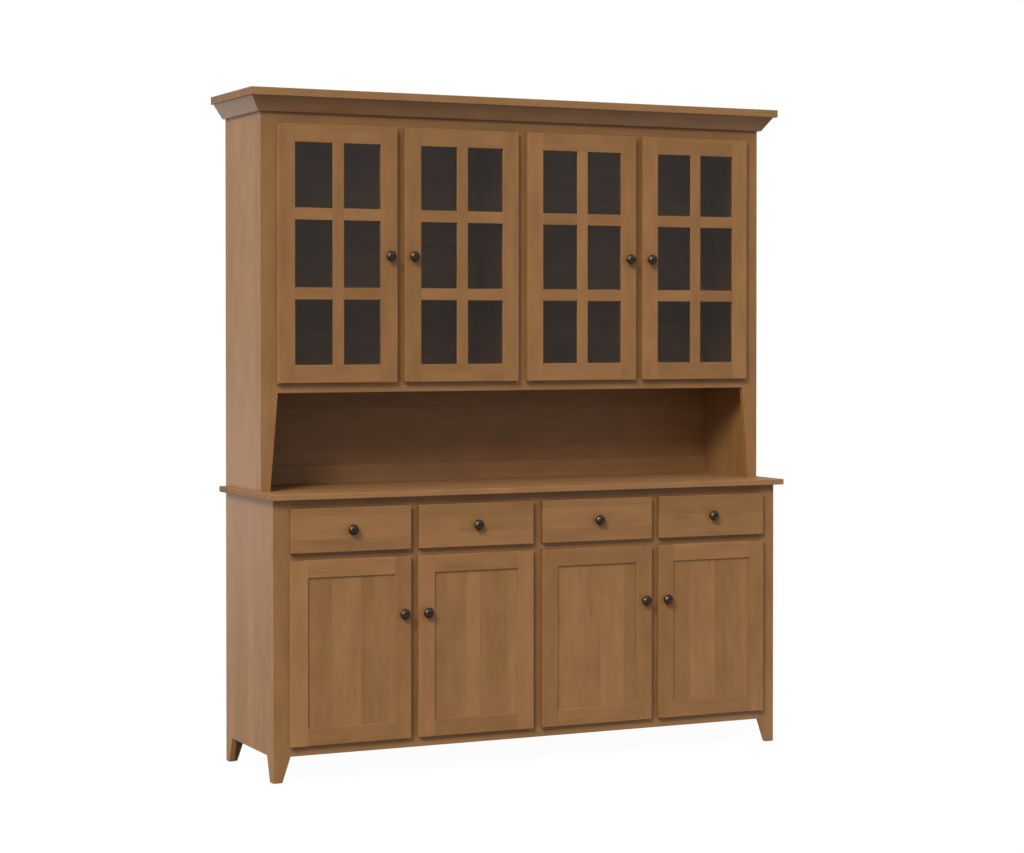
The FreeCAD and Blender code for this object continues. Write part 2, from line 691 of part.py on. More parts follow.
def panelled_door():
    """Frame pieces and panel of a base door that hangs on its left edge, from its lower left corner."""
    wide, high = "door_width", "base_door_height"
    hinge_stile = profile_board(
        "panel_hinge_stile", "XY_Plane", high,
        ("0", "-door_front"), ("panel_stile", "-door_front"), ("panel_stile", "panel_front_y"),
        ("panel_stile - panel_groove", "panel_front_y"), ("panel_stile - panel_groove", "panel_rear_y"),
        ("panel_stile", "panel_rear_y"), ("panel_stile", "-door_gap"),
        ("hinge_relief", "-door_gap"), ("0", "-door_gap - hinge_relief"))
    pivot_bore(hinge_stile, "panel_lower_bore", "0", False)
    pivot_bore(hinge_stile, "panel_upper_bore", high, True)
    inner = f"{wide} - panel_stile"
    free_stile = profile_board(
        "panel_free_stile", "XY_Plane", high,
        (inner, "-door_front"), (wide, "-door_front"), (wide, "-door_gap"), (inner, "-door_gap"),
        (inner, "panel_rear_y"), (f"{inner} + panel_groove", "panel_rear_y"),
        (f"{inner} + panel_groove", "panel_front_y"), (inner, "panel_front_y"))

    # Each rail has a stub tenon as long and as thick as the stiles' groove, and the same groove on its edge
    clear = span("panel_stile", inner)
    tongue = span("panel_stile - panel_groove", f"{inner} + panel_groove")
    thick = span("-door_front", "-door_gap")
    middle = ("panel_front_y", "panel_thick")
    rails = []
    for side, rail_z, tenon_z, groove_z in (
            ("bottom", "0", "0", "panel_stile - panel_groove"),
            ("top", f"{high} - panel_stile", f"{high} - panel_stile + panel_groove",
             f"{high} - panel_stile")):
        whole = fused(
            f"panel_{side}_rail_whole",
            board(f"panel_{side}_rail_body", clear, thick, (rail_z, "panel_stile")),
            board(f"panel_{side}_rail_tenons", tongue, middle, (tenon_z, "panel_stile - panel_groove")))
        groove = board(f"panel_{side}_rail_groove", tongue, middle, (groove_z, "panel_groove"))
        rails.append(cut(f"panel_{side}_rail", whole, groove))

    inset = "panel_stile - panel_groove + panel_play"
    panel = board(
        "door_panel", span(inset, f"{wide} - ({inset})"), middle, span(inset, f"{high} - ({inset})"))
    frame = group("panel_frame", [hinge_stile, free_stile] + rails)
    return frame, panel


def dovetail_pins(name, end, shoulder, lower_edge):
    """Pins across the whole drawer box at one end: two whole ones and a half one at each stated edge."""
    half = "dovetail_pin / 2"
    flared = f"{half} + dovetail_flare"
    outlines = []
    for count in ("1", "2"):
        middle = f"box_bottom_top_z + {count} * pin_pitch"
        outlines.append(((end, f"{middle} - {half}"), (shoulder, f"{middle} - ({flared})"),
                         (shoulder, f"{middle} + {flared}"), (end, f"{middle} + {half}")))
    outlines.append(((end, f"box_top_z - {half}"), (shoulder, f"box_top_z - ({flared})"),
                     (shoulder, "box_top_z"), (end, "box_top_z")))
    if lower_edge:
        outlines.append(((end, "box_z"), (shoulder, "box_z"),
                         (shoulder, f"box_z + {flared}"), (end, f"box_z + {half}")))
    return place(profile_prisms(name, "YZ_Plane", "2 * box_half", outlines), x="-box_half")


def drawer():
    """Front and dovetailed box of a drawer, from the middle of the lower edge of its front."""
    front = board("drawer_front", ("-door_width / 2", "door_width"), span("-door_front", "-door_gap"),
                  ("0", "drawer_height"))
    front_pins = dovetail_pins("front_pins", "-door_gap", "box_inner_front_y", True)
    back_pins = dovetail_pins("back_pins", "box_rear_y", "box_inner_rear_y", False)

    # The section plane's normal points to the front, so the side runs forward from its rear end
    grooved = profile_board(
        "drawer_side", "XZ_Plane", "drawer_box_depth",
        ("-box_half", "box_z"), ("-box_inner_half", "box_z"), ("-box_inner_half", "box_bottom_z"),
        ("-box_inner_half - drawer_groove", "box_bottom_z"),
        ("-box_inner_half - drawer_groove", "box_bottom_top_z"), ("-box_inner_half", "box_bottom_top_z"),
        ("-box_inner_half", "box_top_z"), ("-box_half", "box_top_z"))
    place(grooved, y="box_rear_y")
    left = cut("drawer_tailed_side", grooved, group("drawer_pins", [front_pins, back_pins]))

    between = span("-box_inner_half", "box_inner_half")
    blank = cut(
        "drawer_inner_front_blank",
        board("drawer_inner_front_board", between, span("-door_gap", "box_inner_front_y"),
              span("box_z", "box_top_z")),
        board("drawer_inner_front_groove", between, ("box_inner_front_y - drawer_groove", "drawer_groove"),
              ("box_bottom_z", "drawer_bottom_thick")))
    inner_front = fused("drawer_inner_front", blank, front_pins)
    back = fused(
        "drawer_box_back",
        board("drawer_box_back_board", between, span("box_inner_rear_y", "box_rear_y"),
              span("box_bottom_top_z", "box_top_z")),
        back_pins)
    bottom_half = "box_inner_half + drawer_groove - drawer_bottom_play"
    bottom_front = "box_inner_front_y - drawer_groove + drawer_bottom_play"
    bottom = board("drawer_box_bottom", span(f"-({bottom_half})", bottom_half),
                   span(bottom_front, "box_rear_y"),
                   ("box_bottom_z", "drawer_bottom_thick"))
    box = group("drawer_box", [left, mirrored("drawer_tailed_side_mirror", left), inner_front, back, bottom])
    return front, box


def moving_pieces(knob):
    """Four glazed doors, four panelled doors and four drawers, each with its knob."""
    lite_frame, lite_glass = glazed_door()
    panel_frame, door_panel = panelled_door()
    drawer_front, drawer_box = drawer()
    right_hand = {
        piece.Name: mirrored(f"{piece.Name}_right", piece)
        for piece in (lite_frame, lite_glass, panel_frame, door_panel)
    }
    doors = (
        ("hutch", "hutch_face_y", "hutch_door_z", "hutch_knob_rise",
         (("frame", lite_frame), ("glass", lite_glass))),
        ("base", "face_y", "base_door_z", "base_door_height - base_knob_drop",
         (("frame", panel_frame), ("panel", door_panel))),
    )
    for tier, face, low, knob_rise, pieces in doors:
        for number, column, hung_left in COLUMNS:
            edge = column if hung_left else f"{column} + door_width"
            for part_name, piece in pieces:
                hand = piece if hung_left else right_hand[piece.Name]
                node(f"{tier}_door_{number}_{part_name}", hand, x=edge, y=face, z=low)
            inset = "door_width - knob_edge_inset" if hung_left else "knob_edge_inset"
            node(f"{tier}_door_{number}_knob", knob, x=f"{column} + {inset}", y=f"{face} - door_front",
                 z=f"{low} + {knob_rise}")
    for number, column, _ in COLUMNS:
        middle = f"{column} + door_width / 2"
        node(f"drawer_{number}_front", drawer_front, x=middle, y="face_y", z="drawer_z")
        node(f"drawer_{number}_box", drawer_box, x=middle, y="face_y", z="drawer_z")
        node(f"drawer_{number}_knob", knob, x=middle, y="face_y - door_front",
             z="drawer_z + drawer_height / 2")


def write_nodes():
    """Check every object and write each sub-part's solids to its own file."""
    doc.recompute()
    failed = [o.Label for o in doc.Objects if {"Invalid", "Error"} & set(o.State)]
    if failed:
        raise RuntimeError(f"objects failed to build: {failed}")
    for piece in nodes:
        if piece.Shape.isNull() or not piece.Shape.isValid() or not piece.Shape.Solids:
            raise RuntimeError(f"{piece.Label} has no valid solid")
    os.makedirs("parts", exist_ok=True)
    for piece in nodes:
        Part.makeCompound(piece.Shape.Solids).exportStep(f"parts/{piece.Label}.step")
    print(len(nodes), "nodes,", sum(len(piece.Shape.Solids) for piece in nodes), "solids")


base_case()
drawer_runners()
hutch_case()
shelf_cleats()
crown()
door_hinges(hinge_pattern())
moving_pieces(knob_pattern())
write_nodes()
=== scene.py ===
"""Looks of the dresser with hutch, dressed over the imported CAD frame.

Every board is cut from the frame's own solids, gets eased edges and its own run of grain, and is finished
in stained and lacquered maple. Knobs, screws and bumpers are turned here. Metres, in the frame of the part:
+X to the right, +Y to the back, +Z up, the front faces -Y.
"""

import json
import logging
import math
import random
from collections.abc import Iterable
from dataclasses import dataclass
from enum import Enum

import bmesh
import bpy
from bmesh.types import BMesh, BMFace
from bpy.types import Material, Node, NodeSocket, NodeTree, Object
from mathutils import Matrix, Vector
from mathutils.bvhtree import BVHTree
from mathutils.geometry import interpolate_bezier

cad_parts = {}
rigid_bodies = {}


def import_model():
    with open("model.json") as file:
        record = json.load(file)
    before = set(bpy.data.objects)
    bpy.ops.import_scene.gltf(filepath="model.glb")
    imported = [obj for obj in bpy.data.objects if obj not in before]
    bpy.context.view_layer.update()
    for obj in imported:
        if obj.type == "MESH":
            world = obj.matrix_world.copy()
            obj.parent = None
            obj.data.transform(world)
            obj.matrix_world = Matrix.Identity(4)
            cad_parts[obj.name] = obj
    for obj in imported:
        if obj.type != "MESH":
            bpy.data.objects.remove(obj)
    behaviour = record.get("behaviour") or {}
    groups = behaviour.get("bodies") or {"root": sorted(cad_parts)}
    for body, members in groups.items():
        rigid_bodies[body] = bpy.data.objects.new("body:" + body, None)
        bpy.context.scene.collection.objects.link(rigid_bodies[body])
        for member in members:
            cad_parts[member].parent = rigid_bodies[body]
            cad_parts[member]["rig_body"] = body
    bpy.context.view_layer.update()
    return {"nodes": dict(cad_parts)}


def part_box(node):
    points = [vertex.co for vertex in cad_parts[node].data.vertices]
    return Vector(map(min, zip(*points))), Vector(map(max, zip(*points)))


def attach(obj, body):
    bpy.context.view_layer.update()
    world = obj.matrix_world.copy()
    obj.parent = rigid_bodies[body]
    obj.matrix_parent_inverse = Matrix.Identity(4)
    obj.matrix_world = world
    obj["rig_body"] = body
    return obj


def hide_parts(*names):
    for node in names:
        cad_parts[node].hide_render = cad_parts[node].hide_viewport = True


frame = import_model()

LOG = logging.getLogger("dresser")

# Corners nearer than this are one corner, and faces flatter than this to each other are one face
MERGE = 1e-5
FLAT = math.radians(0.5)
# Boards nearer than this touch each other
TOUCH = 5e-5
# Faces of a board that meet at more than this have an edge that can be eased
SHARP = math.radians(25)
# Faces of a turned piece that meet at more than this keep a sharp edge
ROUND = math.radians(40)
# A face whose normal lies this much along the grain shows end grain
END_GRAIN = 0.7
# The white sheet behind the object fades in from the first of these places to the second, towards the back
SHEET_START = -0.2
SHEET_WHOLE = 0.3
# The way to the back
BACK = (0, 1, 0)


def mm(size: float) -> float:
    """Return a size in millimetres as metres."""
    return size / 1000


def linear(colour: str) -> tuple[float, float, float, float]:
    """Turn an sRGB hex colour into the linear colour that shaders use.

    Args:
        colour: Six hex digits after a hash sign.

    Returns:
        Linear red, green, blue and an alpha of 1.
    """
    shares = [int(colour[i:i + 2], 16) / 255 for i in (1, 3, 5)]
    red, green, blue = (s / 12.92 if s <= 0.04045 else ((s + 0.055) / 1.055) ** 2.4 for s in shares)
    return red, green, blue, 1.0


def add_node(tree: NodeTree, kind: str, links: dict | None = None, **settings: object) -> Node:
    """Add one node, set its options and feed its inputs.

    Args:
        tree: Node tree that gets the node.
        kind: Type of the node, without Blender's prefix.
        links: Input name or number, with a value, a socket, or a node whose first output feeds it.
        settings: Options of the node by name.

    Returns:
        The new node.
    """
    node = tree.nodes.new("ShaderNode" + kind)
    for option, value in settings.items():
        setattr(node, option, value)
    for key, source in (links or {}).items():
        if isinstance(source, Node):
            source = source.outputs[0]
        if isinstance(source, NodeSocket):
            tree.links.new(source, node.inputs[key])
        else:
            node.inputs[key].default_value = source
    return node


def seen_share(tree: NodeTree, back: Node | NodeSocket, mirrored: float) -> Node:
    """Tell the rays that show a background, straight or in metal and glass, from those that only light.

    The white sheet hangs behind the object, so what is mirrored towards the front shows the dimmer room.

    Args:
        tree: Node tree of the background.
        back: How far to the back the background lies, on the scale of the sheet's start and whole.
        mirrored: How bright the sheet shows in a mirror.

    Returns:
        1 on a ray that sees the white sheet and 0 on one that has met a dull surface.
    """
    ray = add_node(tree, "LightPath").outputs
    seen = ray["Is Camera Ray"]
    for other in ("Is Glossy Ray", "Is Transmission Ray"):
        seen = add_node(tree, "Math", {0: seen, 1: ray[other]}, operation="MAXIMUM")
    behind = add_node(tree, "MapRange", {0: back, 1: SHEET_START, 2: SHEET_WHOLE, 4: mirrored})
    white = add_node(tree, "MapRange", {0: ray["Glossy Depth"], 3: 1.0, 4: behind})
    seen = add_node(tree, "Math", {0: seen, 1: white}, operation="MULTIPLY")
    return add_node(tree, "Math", {0: seen, 1: ray["Diffuse Depth"]}, operation="SUBTRACT", use_clamp=True)


def clouded(
    tree: NodeTree, size: float, detail: float, colours: tuple[str, str], roughness: tuple[float, float],
    levels: tuple[float, float] = (0.0, 1.0),
) -> tuple[Node, dict[str, Node | NodeSocket]]:
    """Add a cloudy pattern on a piece, with a colour and a roughness that follow it.

    Args:
        tree: Node tree of the material.
        size: Size of the pattern's spots in mm.
        detail: Octaves of finer spots.
        colours: Colours at the lower and the upper level.
        roughness: Roughness where the pattern is 0 and where it is 1.
        levels: Levels of the pattern between which the colour changes.

    Returns:
        The pattern, from 0 to 1 about a half, and the shader's inputs that follow it.
    """
    place = add_node(tree, "TexCoord").outputs["Object"]
    cloud = add_node(tree, "TexNoise", {"Vector": place, "Scale": 1 / mm(size), "Detail": detail})
    share = add_node(tree, "MapRange", {0: cloud, 1: levels[0], 2: levels[1]})
    lower, upper = (linear(colour) for colour in colours)
    colour = add_node(tree, "Mix", {0: share, 6: lower, 7: upper}, data_type="RGBA").outputs[2]
    rough = add_node(tree, "MapRange", {0: cloud, 3: roughness[0], 4: roughness[1]})
    return cloud, {"Base Color": colour, "Roughness": rough}


def spaced(low: float, high: float, pitch: float) -> list[float]:
    """Space places evenly.

    Args:
        low: First place.
        high: Last place.
        pitch: Most distance between two places.

    Returns:
        The places, from low to high.
    """
    steps = max(1, math.ceil((high - low) / pitch))
    return [low + (high - low) * i / steps for i in range(steps + 1)]


class Axis(Enum):
    """A direction of the part, by its number in a vector."""

    X = 0
    Y = 1
    Z = 2


class Hung(Enum):
    """The edge that a door is hinged on, with the way from there to its free edge."""

    LEFT = 1
    RIGHT = -1


@dataclass(frozen=True)
class Finish:
    """A surface finish: the name of its material and the record's slot that it belongs to."""

    name: str
    slot: str | None

    def shade(self, tree: NodeTree) -> Node:
        """Add the finish's nodes and return the last shader."""
        raise NotImplementedError

    def material(self) -> Material:
        """Find the finish's material, or make it at its first use.

        Returns:
            The material.
        """
        found = bpy.data.materials.get(self.name)
        if found is not None:
            return found
        made = bpy.data.materials.new(self.name)
        made.use_nodes = True
        made.node_tree.nodes.clear()
        add_node(made.node_tree, "OutputMaterial", {"Surface": self.shade(made.node_tree)})
        return made


@dataclass(frozen=True)
class LacqueredWood(Finish):
    """Maple that was planed, glued up, sanded, coloured and sprayed with satin lacquer.

    It gives the eye calm straight figure in strips, each strip a little lighter or redder than the next,
    small dark flecks, darker end grain, paler rubbed edges and a soft broad shine. Sizes are in mm.
    """

    deep: str = "#634424"
    body: str = "#845d35"
    pale: str = "#9d7246"
    red: str = "#8a5a37"
    # Growth rings of maple are about 2 mm, drawn wider so that they show in the picture
    ring: float = 7.0
    streak: tuple[float, float] = (360.0, 22.0)
    # Fibres are a few hundredths of a millimetre, drawn wider for the same reason
    fibre: tuple[float, float] = (60.0, 1.8)
    fleck: tuple[float, float] = (14.0, 1.6)
    blotch: tuple[float, float] = (150.0, 55.0)
    # Dark mineral streaks, the marks that tell maple
    smudge: tuple[float, float] = (70.0, 15.0)
    # The log is not straight: length, width and depth of its sway
    sway: tuple[float, float] = (420.0, 70.0)
    sway_depth: float = 34.0
    glue_line: float = 0.5
    fibre_depth: float = 0.12
    # A board starts up to so many strips into the pattern, and its strips are moved up to so many metres
    start_spread: float = 90.0
    strip_shift: float = 9.0
    strip_unevenness: float = 0.75
    # The tone runs from deep at 0 to pale at 1
    middle_tone: float = 0.53
    strip_contrast: float = 0.22
    reddish: float = 0.14
    roughness: float = 0.30
    roughness_swing: float = 0.07
    lacquer_ior: float = 1.45

    def shade(self, tree: NodeTree) -> Node:
        """Add the wood's nodes.

        Args:
            tree: Node tree of the material.

        Returns:
            The wood's shader.
        """
        board = add_node(tree, "Attribute", attribute_name="board")
        seed, tint, strips = add_node(tree, "SeparateXYZ", {0: board.outputs["Vector"]}).outputs
        edge = add_node(tree, "Attribute", attribute_name="edge")
        end_grain, eased, _ = add_node(tree, "SeparateXYZ", {0: edge.outputs["Vector"]}).outputs
        place, chance, seam = self.strips(tree, seed, strips)
        rings = self.rings(tree, place)
        streaks = self.noise(tree, place, self.streak, 3.0)
        fibres = self.noise(tree, place, self.fibre, 2.0)
        flecks = self.noise(tree, place, self.fleck, 1.0)
        blotches = self.noise(tree, place, self.blotch, 2.0)
        smudges = self.noise(tree, place, self.smudge, 2.0)
        # Only the crests of the flecks and the smudges show
        spots = add_node(tree, "MapRange", {0: flecks, 1: 0.66, 2: 0.78})
        marks = add_node(tree, "MapRange", {0: smudges, 1: 0.62, 2: 0.80})
        rubbed = add_node(tree, "Math", {0: eased, 1: blotches}, operation="MULTIPLY")
        # Shares of each pattern in the tone. The swinging ones lie about a half, which is taken off again
        swinging = (
            (streaks, 0.18), (blotches, 0.50), (fibres, 0.07), (chance[0], self.strip_contrast),
        )
        others = (
            (rings, -0.05), (spots, -0.08), (marks, -0.18), (tint, 0.06), (end_grain, -0.30), (rubbed, 0.30),
            (seam, -0.16),
        )
        tone = self.middle_tone - sum(share for _, share in swinging) / 2
        for pattern, share in swinging + others:
            tone = add_node(tree, "Math", {0: pattern, 1: share, 2: tone}, operation="MULTIPLY_ADD")
        ramp = add_node(tree, "ValToRGB", {0: tone})
        ramp.color_ramp.elements.new(0.5)
        for stop, colour in zip(ramp.color_ramp.elements, (self.deep, self.body, self.pale)):
            stop.color = linear(colour)
        red_share = add_node(tree, "Math", {0: chance[1], 1: self.reddish}, operation="MULTIPLY")
        colour = add_node(tree, "Mix", {0: red_share, 6: ramp, 7: linear(self.red)}, data_type="RGBA")
        smoothest, roughest = self.roughness - self.roughness_swing, self.roughness + self.roughness_swing
        sheen = add_node(tree, "MapRange", {0: streaks, 3: smoothest, 4: roughest})
        # Glue lines sink a little deeper than the fibres
        relief = add_node(tree, "Math", {0: seam, 1: -1.5, 2: fibres}, operation="MULTIPLY_ADD")
        bump = add_node(tree, "Bump", {"Strength": 0.35, "Distance": mm(self.fibre_depth), "Height": relief})
        return add_node(tree, "BsdfPrincipled", {
            "Base Color": colour.outputs[2], "Roughness": sheen, "Normal": bump, "IOR": self.lacquer_ior,
        })

    def strips(
        self, tree: NodeTree, seed: NodeSocket, strips: NodeSocket
    ) -> tuple[Node, list[NodeSocket], Node]:
        """Divide a glued-up board into strips of uneven width, each from its own place in a log.

        Args:
            tree: Node tree of the material.
            seed: The board's own number from 0 to 1.
            strips: Strips to a metre, 0 for a board of one piece.

        Returns:
            The place in the log, three numbers from 0 to 1 for each strip, and the glue lines.
        """
        grain = add_node(tree, "Attribute", attribute_name="grain")
        along, across, through = add_node(tree, "SeparateXYZ", {0: grain.outputs["Vector"]}).outputs
        start = add_node(tree, "Math", {0: seed, 1: self.start_spread}, operation="MULTIPLY")
        count = add_node(tree, "Math", {0: across, 1: strips, 2: start}, operation="MULTIPLY_ADD")
        cells = {"W": count, "Scale": 1.0, "Randomness": self.strip_unevenness}
        strip = add_node(tree, "TexVoronoi", cells, voronoi_dimensions="1D")
        border = add_node(tree, "TexVoronoi", cells, feature="DISTANCE_TO_EDGE", voronoi_dimensions="1D")
        chance = list(add_node(tree, "SeparateColor", {0: strip.outputs["Color"]}).outputs)
        middle = add_node(tree, "Math", {0: strip.outputs["W"], 1: start}, operation="SUBTRACT")
        middle = add_node(tree, "Math", {0: middle, 1: strips}, operation="DIVIDE")
        off_middle = add_node(tree, "Math", {0: across, 1: middle}, operation="SUBTRACT")
        # A strip lies 20 to 90 mm from the pith, and up to 30 mm to one side of it
        beside = add_node(tree, "MapRange", {0: chance[1], 3: mm(-30), 4: mm(30)})
        depth = add_node(tree, "MapRange", {0: chance[2], 3: mm(20), 4: mm(90)})
        lengthways = add_node(
            tree, "Math", {0: chance[0], 1: self.strip_shift, 2: start}, operation="MULTIPLY_ADD"
        )
        place = add_node(tree, "CombineXYZ", {
            0: add_node(tree, "Math", {0: along, 1: lengthways}),
            1: add_node(tree, "Math", {0: off_middle, 1: beside}),
            2: add_node(tree, "Math", {0: through, 1: depth}),
        })
        gap = add_node(tree, "Math", {0: border.outputs["Distance"], 1: strips}, operation="DIVIDE")
        near = add_node(tree, "MapRange", {0: gap, 1: mm(self.glue_line), 2: 0.0})
        glued = add_node(tree, "Math", {0: strips, 1: 0.5}, operation="GREATER_THAN")
        seam = add_node(tree, "Math", {0: near, 1: glued}, operation="MULTIPLY")
        return place, chance, seam

    def noise(self, tree: NodeTree, place: Node, size: tuple[float, float], detail: float) -> Node:
        """Add a cloudy pattern drawn out along the grain.

        Args:
            tree: Node tree of the material.
            place: Place in the log.
            size: Length and width of the pattern's spots in mm.
            detail: Octaves of finer spots.

        Returns:
            The pattern's node, whose outputs go from 0 to 1 about a half.
        """
        long, wide = (1 / mm(side) for side in size)
        drawn = add_node(tree, "VectorMath", {0: place, 1: (long, wide, wide)}, operation="MULTIPLY")
        return add_node(tree, "TexNoise", {"Vector": drawn, "Scale": 1.0, "Detail": detail})

    def rings(self, tree: NodeTree, place: Node) -> Node:
        """Add the growth rings round the pith, which wander along the log.

        Args:
            tree: Node tree of the material.
            place: Place in the log.

        Returns:
            The late wood of each ring, a thin line of 1.
        """
        sway = self.noise(tree, place, self.sway, 2.0).outputs["Color"]
        depth = mm(self.sway_depth)
        moved = add_node(
            tree, "VectorMath", {0: sway, 1: (0.0, depth, depth), 2: place}, operation="MULTIPLY_ADD"
        )
        # A wave's rings are a turn apart at 20 times its scale
        turns = 2 * math.pi / (20 * mm(self.ring))
        wave = add_node(
            tree, "TexWave", {"Vector": moved, "Scale": turns}, wave_type="RINGS",
            rings_direction="X", wave_profile="SAW",
        )
        # The power leaves only the last, dark part of each year's growth
        return add_node(tree, "Math", {0: wave.outputs["Fac"], 1: 2.5}, operation="POWER")


@dataclass(frozen=True)
class FloatGlass(Finish):
    """Clear float glass, floated flat and cut: nearly colourless, with a faint waviness in what it mirrors.

    The dark cupboard shows through it, under a thin veil of the room. Sizes are in mm.
    """

    tint: str = "#fbfcfa"
    wave: float = 140.0
    wave_depth: float = 0.2
    smear: float = 30.0
    smear_roughness: float = 0.02
    ior: float = 1.5

    def shade(self, tree: NodeTree) -> Node:
        """Add the glass's nodes.

        Args:
            tree: Node tree of the material.

        Returns:
            The glass's shader.
        """
        place = add_node(tree, "TexCoord").outputs["Object"]
        wavy = add_node(tree, "TexNoise", {"Vector": place, "Scale": 1 / mm(self.wave), "Detail": 1.0})
        haze = add_node(tree, "TexNoise", {"Vector": place, "Scale": 1 / mm(self.smear), "Detail": 4.0})
        rough = add_node(tree, "MapRange", {0: haze, 3: 0.0, 4: self.smear_roughness})
        bump = add_node(tree, "Bump", {"Strength": 0.2, "Distance": mm(self.wave_depth), "Height": wavy})
        return add_node(tree, "BsdfPrincipled", {
            "Base Color": linear(self.tint), "Roughness": rough, "Normal": bump, "Transmission Weight": 1.0,
            "IOR": self.ior,
        })


@dataclass(frozen=True)
class RubbedBronze(Finish):
    """Cast brass, turned and chemically darkened: near black, with brown where hands have rubbed it.

    Sizes are in mm, and the roughness goes from the dark to the rubbed places.
    """

    dark: str = "#453d35"
    brown: str = "#66523f"
    rubbed: tuple[float, float] = (0.45, 0.75)
    roughness: tuple[float, float] = (0.42, 0.28)
    patina: float = 5.0
    patina_depth: float = 0.1

    def shade(self, tree: NodeTree) -> Node:
        """Add the metal's nodes.

        Args:
            tree: Node tree of the material.

        Returns:
            The metal's shader.
        """
        cloud, look = clouded(tree, self.patina, 4.0, (self.dark, self.brown), self.roughness, self.rubbed)
        bump = add_node(tree, "Bump", {"Strength": 0.15, "Distance": mm(self.patina_depth), "Height": cloud})
        return add_node(tree, "BsdfPrincipled", {**look, "Normal": bump, "Metallic": 1.0})


@dataclass(frozen=True)
class PlatedSteel(Finish):
    """Pressed steel with a thin plating: finely crystalline and dulled by handling. Sizes are in mm."""

    bright: str = "#c3c1bb"
    dull: str = "#8d8b86"
    crystal: float = 3.0
    roughness: tuple[float, float] = (0.3, 0.5)

    def shade(self, tree: NodeTree) -> Node:
        """Add the metal's nodes and return its shader."""
        _, look = clouded(tree, self.crystal, 3.0, (self.bright, self.dull), self.roughness)
        return add_node(tree, "BsdfPrincipled", {**look, "Metallic": 1.0})


@dataclass(frozen=True)
class DustyResin(Finish):
    """A smooth resin with dust held on its face, which dulls it in small spots. Sizes are in mm."""

    clean: str
    dusty: str
    dust: float = 1.5
    roughness: tuple[float, float] = (0.35, 0.6)
    ior: float = 1.48

    def shade(self, tree: NodeTree) -> Node:
        """Add the resin's nodes and return its shader."""
        _, look = clouded(tree, self.dust, 3.0, (self.clean, self.dusty), self.roughness)
        return add_node(tree, "BsdfPrincipled", {**look, "IOR": self.ior})


@dataclass(frozen=True)
class SoftPlastic(DustyResin):
    """Cast polyurethane, soft and half clear, so that it takes on the brown of the wood under it."""

    clean: str = "#a8977a"
    dusty: str = "#8a7a60"


@dataclass(frozen=True)
class StovedEnamel(DustyResin):
    """Enamel sprayed and stoved on pressed steel in the brown of the wood, so that it hardly shows."""

    clean: str = "#8a6038"
    dusty: str = "#7b5531"


@dataclass(frozen=True)
class StudioPaper(Finish):
    """Seamless paper: matt, and shown as white to the camera but for a trace of the shadow on it.

    Where wood mirrors it, it is white only behind the object, and in front of it at the right, because the
    sheet hangs aslant. Sizes are in metres.
    """

    # The grey that lights the object, because white paper covers only part of the room's floor
    lit: str = "#929292"
    # Share of the picture's white that doesn't darken in a shadow, and the glow that makes a lit floor white
    bleached: float = 0.89
    glow: float = 1.085
    # How far the sheet's edge comes forward for each metre to the right, its fading breadth, and its limit
    slant: float = 2.0
    fade: float = 2.5
    reach: float = 1.2

    def shade(self, tree: NodeTree) -> Node:
        """Add the paper's nodes.

        Args:
            tree: Node tree of the material.

        Returns:
            The paper's shader.
        """
        place = add_node(tree, "TexCoord").outputs["Object"]
        side, back, _ = add_node(tree, "SeparateXYZ", {0: place}).outputs
        aslant = add_node(tree, "Math", {0: side, 1: self.slant, 2: back}, operation="MULTIPLY_ADD")
        aslant = add_node(tree, "MapRange", {0: aslant, 2: self.fade, 3: SHEET_START, 4: SHEET_WHOLE})
        forward = add_node(tree, "Math", {0: back, 1: self.reach})
        behind = add_node(tree, "Math", {0: aslant, 1: forward}, operation="MINIMUM")
        seen = seen_share(tree, behind, 1.0)
        share = add_node(tree, "Math", {0: seen, 1: self.bleached}, operation="MULTIPLY")
        paper = add_node(tree, "BsdfDiffuse", {"Color": linear(self.lit)})
        glow = add_node(tree, "Emission", {"Strength": self.glow})
        return add_node(tree, "MixShader", {0: share, 1: paper, 2: glow})


STAINED_MAPLE = LacqueredWood("stained_maple_satin_lacquer", "stained_wood")
# The cap and the counter are wiped the most, so their lacquer mirrors less
RUBBED_MAPLE = LacqueredWood("stained_maple_rubbed_lacquer", "stained_wood", roughness=0.6)
# Painted light: the counter is drawn in paler wood, standing in for the stronger light on its top from above
COUNTER_MAPLE_PAINTED_LIGHT = LacqueredWood(
    "stained_maple_counter_painted_light", "stained_wood",
    deep="#674726", body="#896137", pale="#a37749", red="#8f5e39", roughness=0.6,
)
STAINED_VENEER = LacqueredWood(
    "stained_maple_veneer_plywood", "back_panel", strip_contrast=0.2, roughness=0.48
)
CLEAR_MAPLE = LacqueredWood(
    "clear_lacquered_maple", "drawer_maple",
    deep="#a57d4c", body="#cda673", pale="#e0c295", red="#cda17a", strip_contrast=0.2, roughness=0.45,
)
WINDOW_GLASS = FloatGlass("clear_float_glass", "clear_glass")
DARK_BRONZE = RubbedBronze("oil_rubbed_bronze", "dark_bronze")
ZINC_STEEL = PlatedSteel("zinc_plated_steel", "hinge_steel")
BROWN_STEEL = StovedEnamel("brown_enamelled_steel", "hinge_steel")
BUMPER_PLASTIC = SoftPlastic("soft_polyurethane", None)
WHITE_PAPER = StudioPaper("white_seamless_paper", None)


@dataclass(frozen=True)
class Stock:
    """How the boards of one node are finished and cut: strips and eased edges in mm, and the grain's way."""

    finish: Finish = STAINED_MAPLE
    strip: float = 0.0
    ease: float = 1.5
    grain: Axis | None = None


@dataclass
class Board:
    """One solid of the frame with its box at rest, and its skin, which tells what touches it."""

    solid: BMesh
    low: Vector
    high: Vector
    skin: BVHTree

    def touches(self, point: Vector) -> bool:
        """Say whether a point lies on the board's skin."""
        return self.skin.find_nearest(point, TOUCH)[0] is not None

    def meets(self, other: "Board") -> bool:
        """Say whether the boxes of two boards touch."""
        return all(
            self.low[i] - TOUCH < other.high[i] and other.low[i] - TOUCH < self.high[i] for i in range(3)
        )


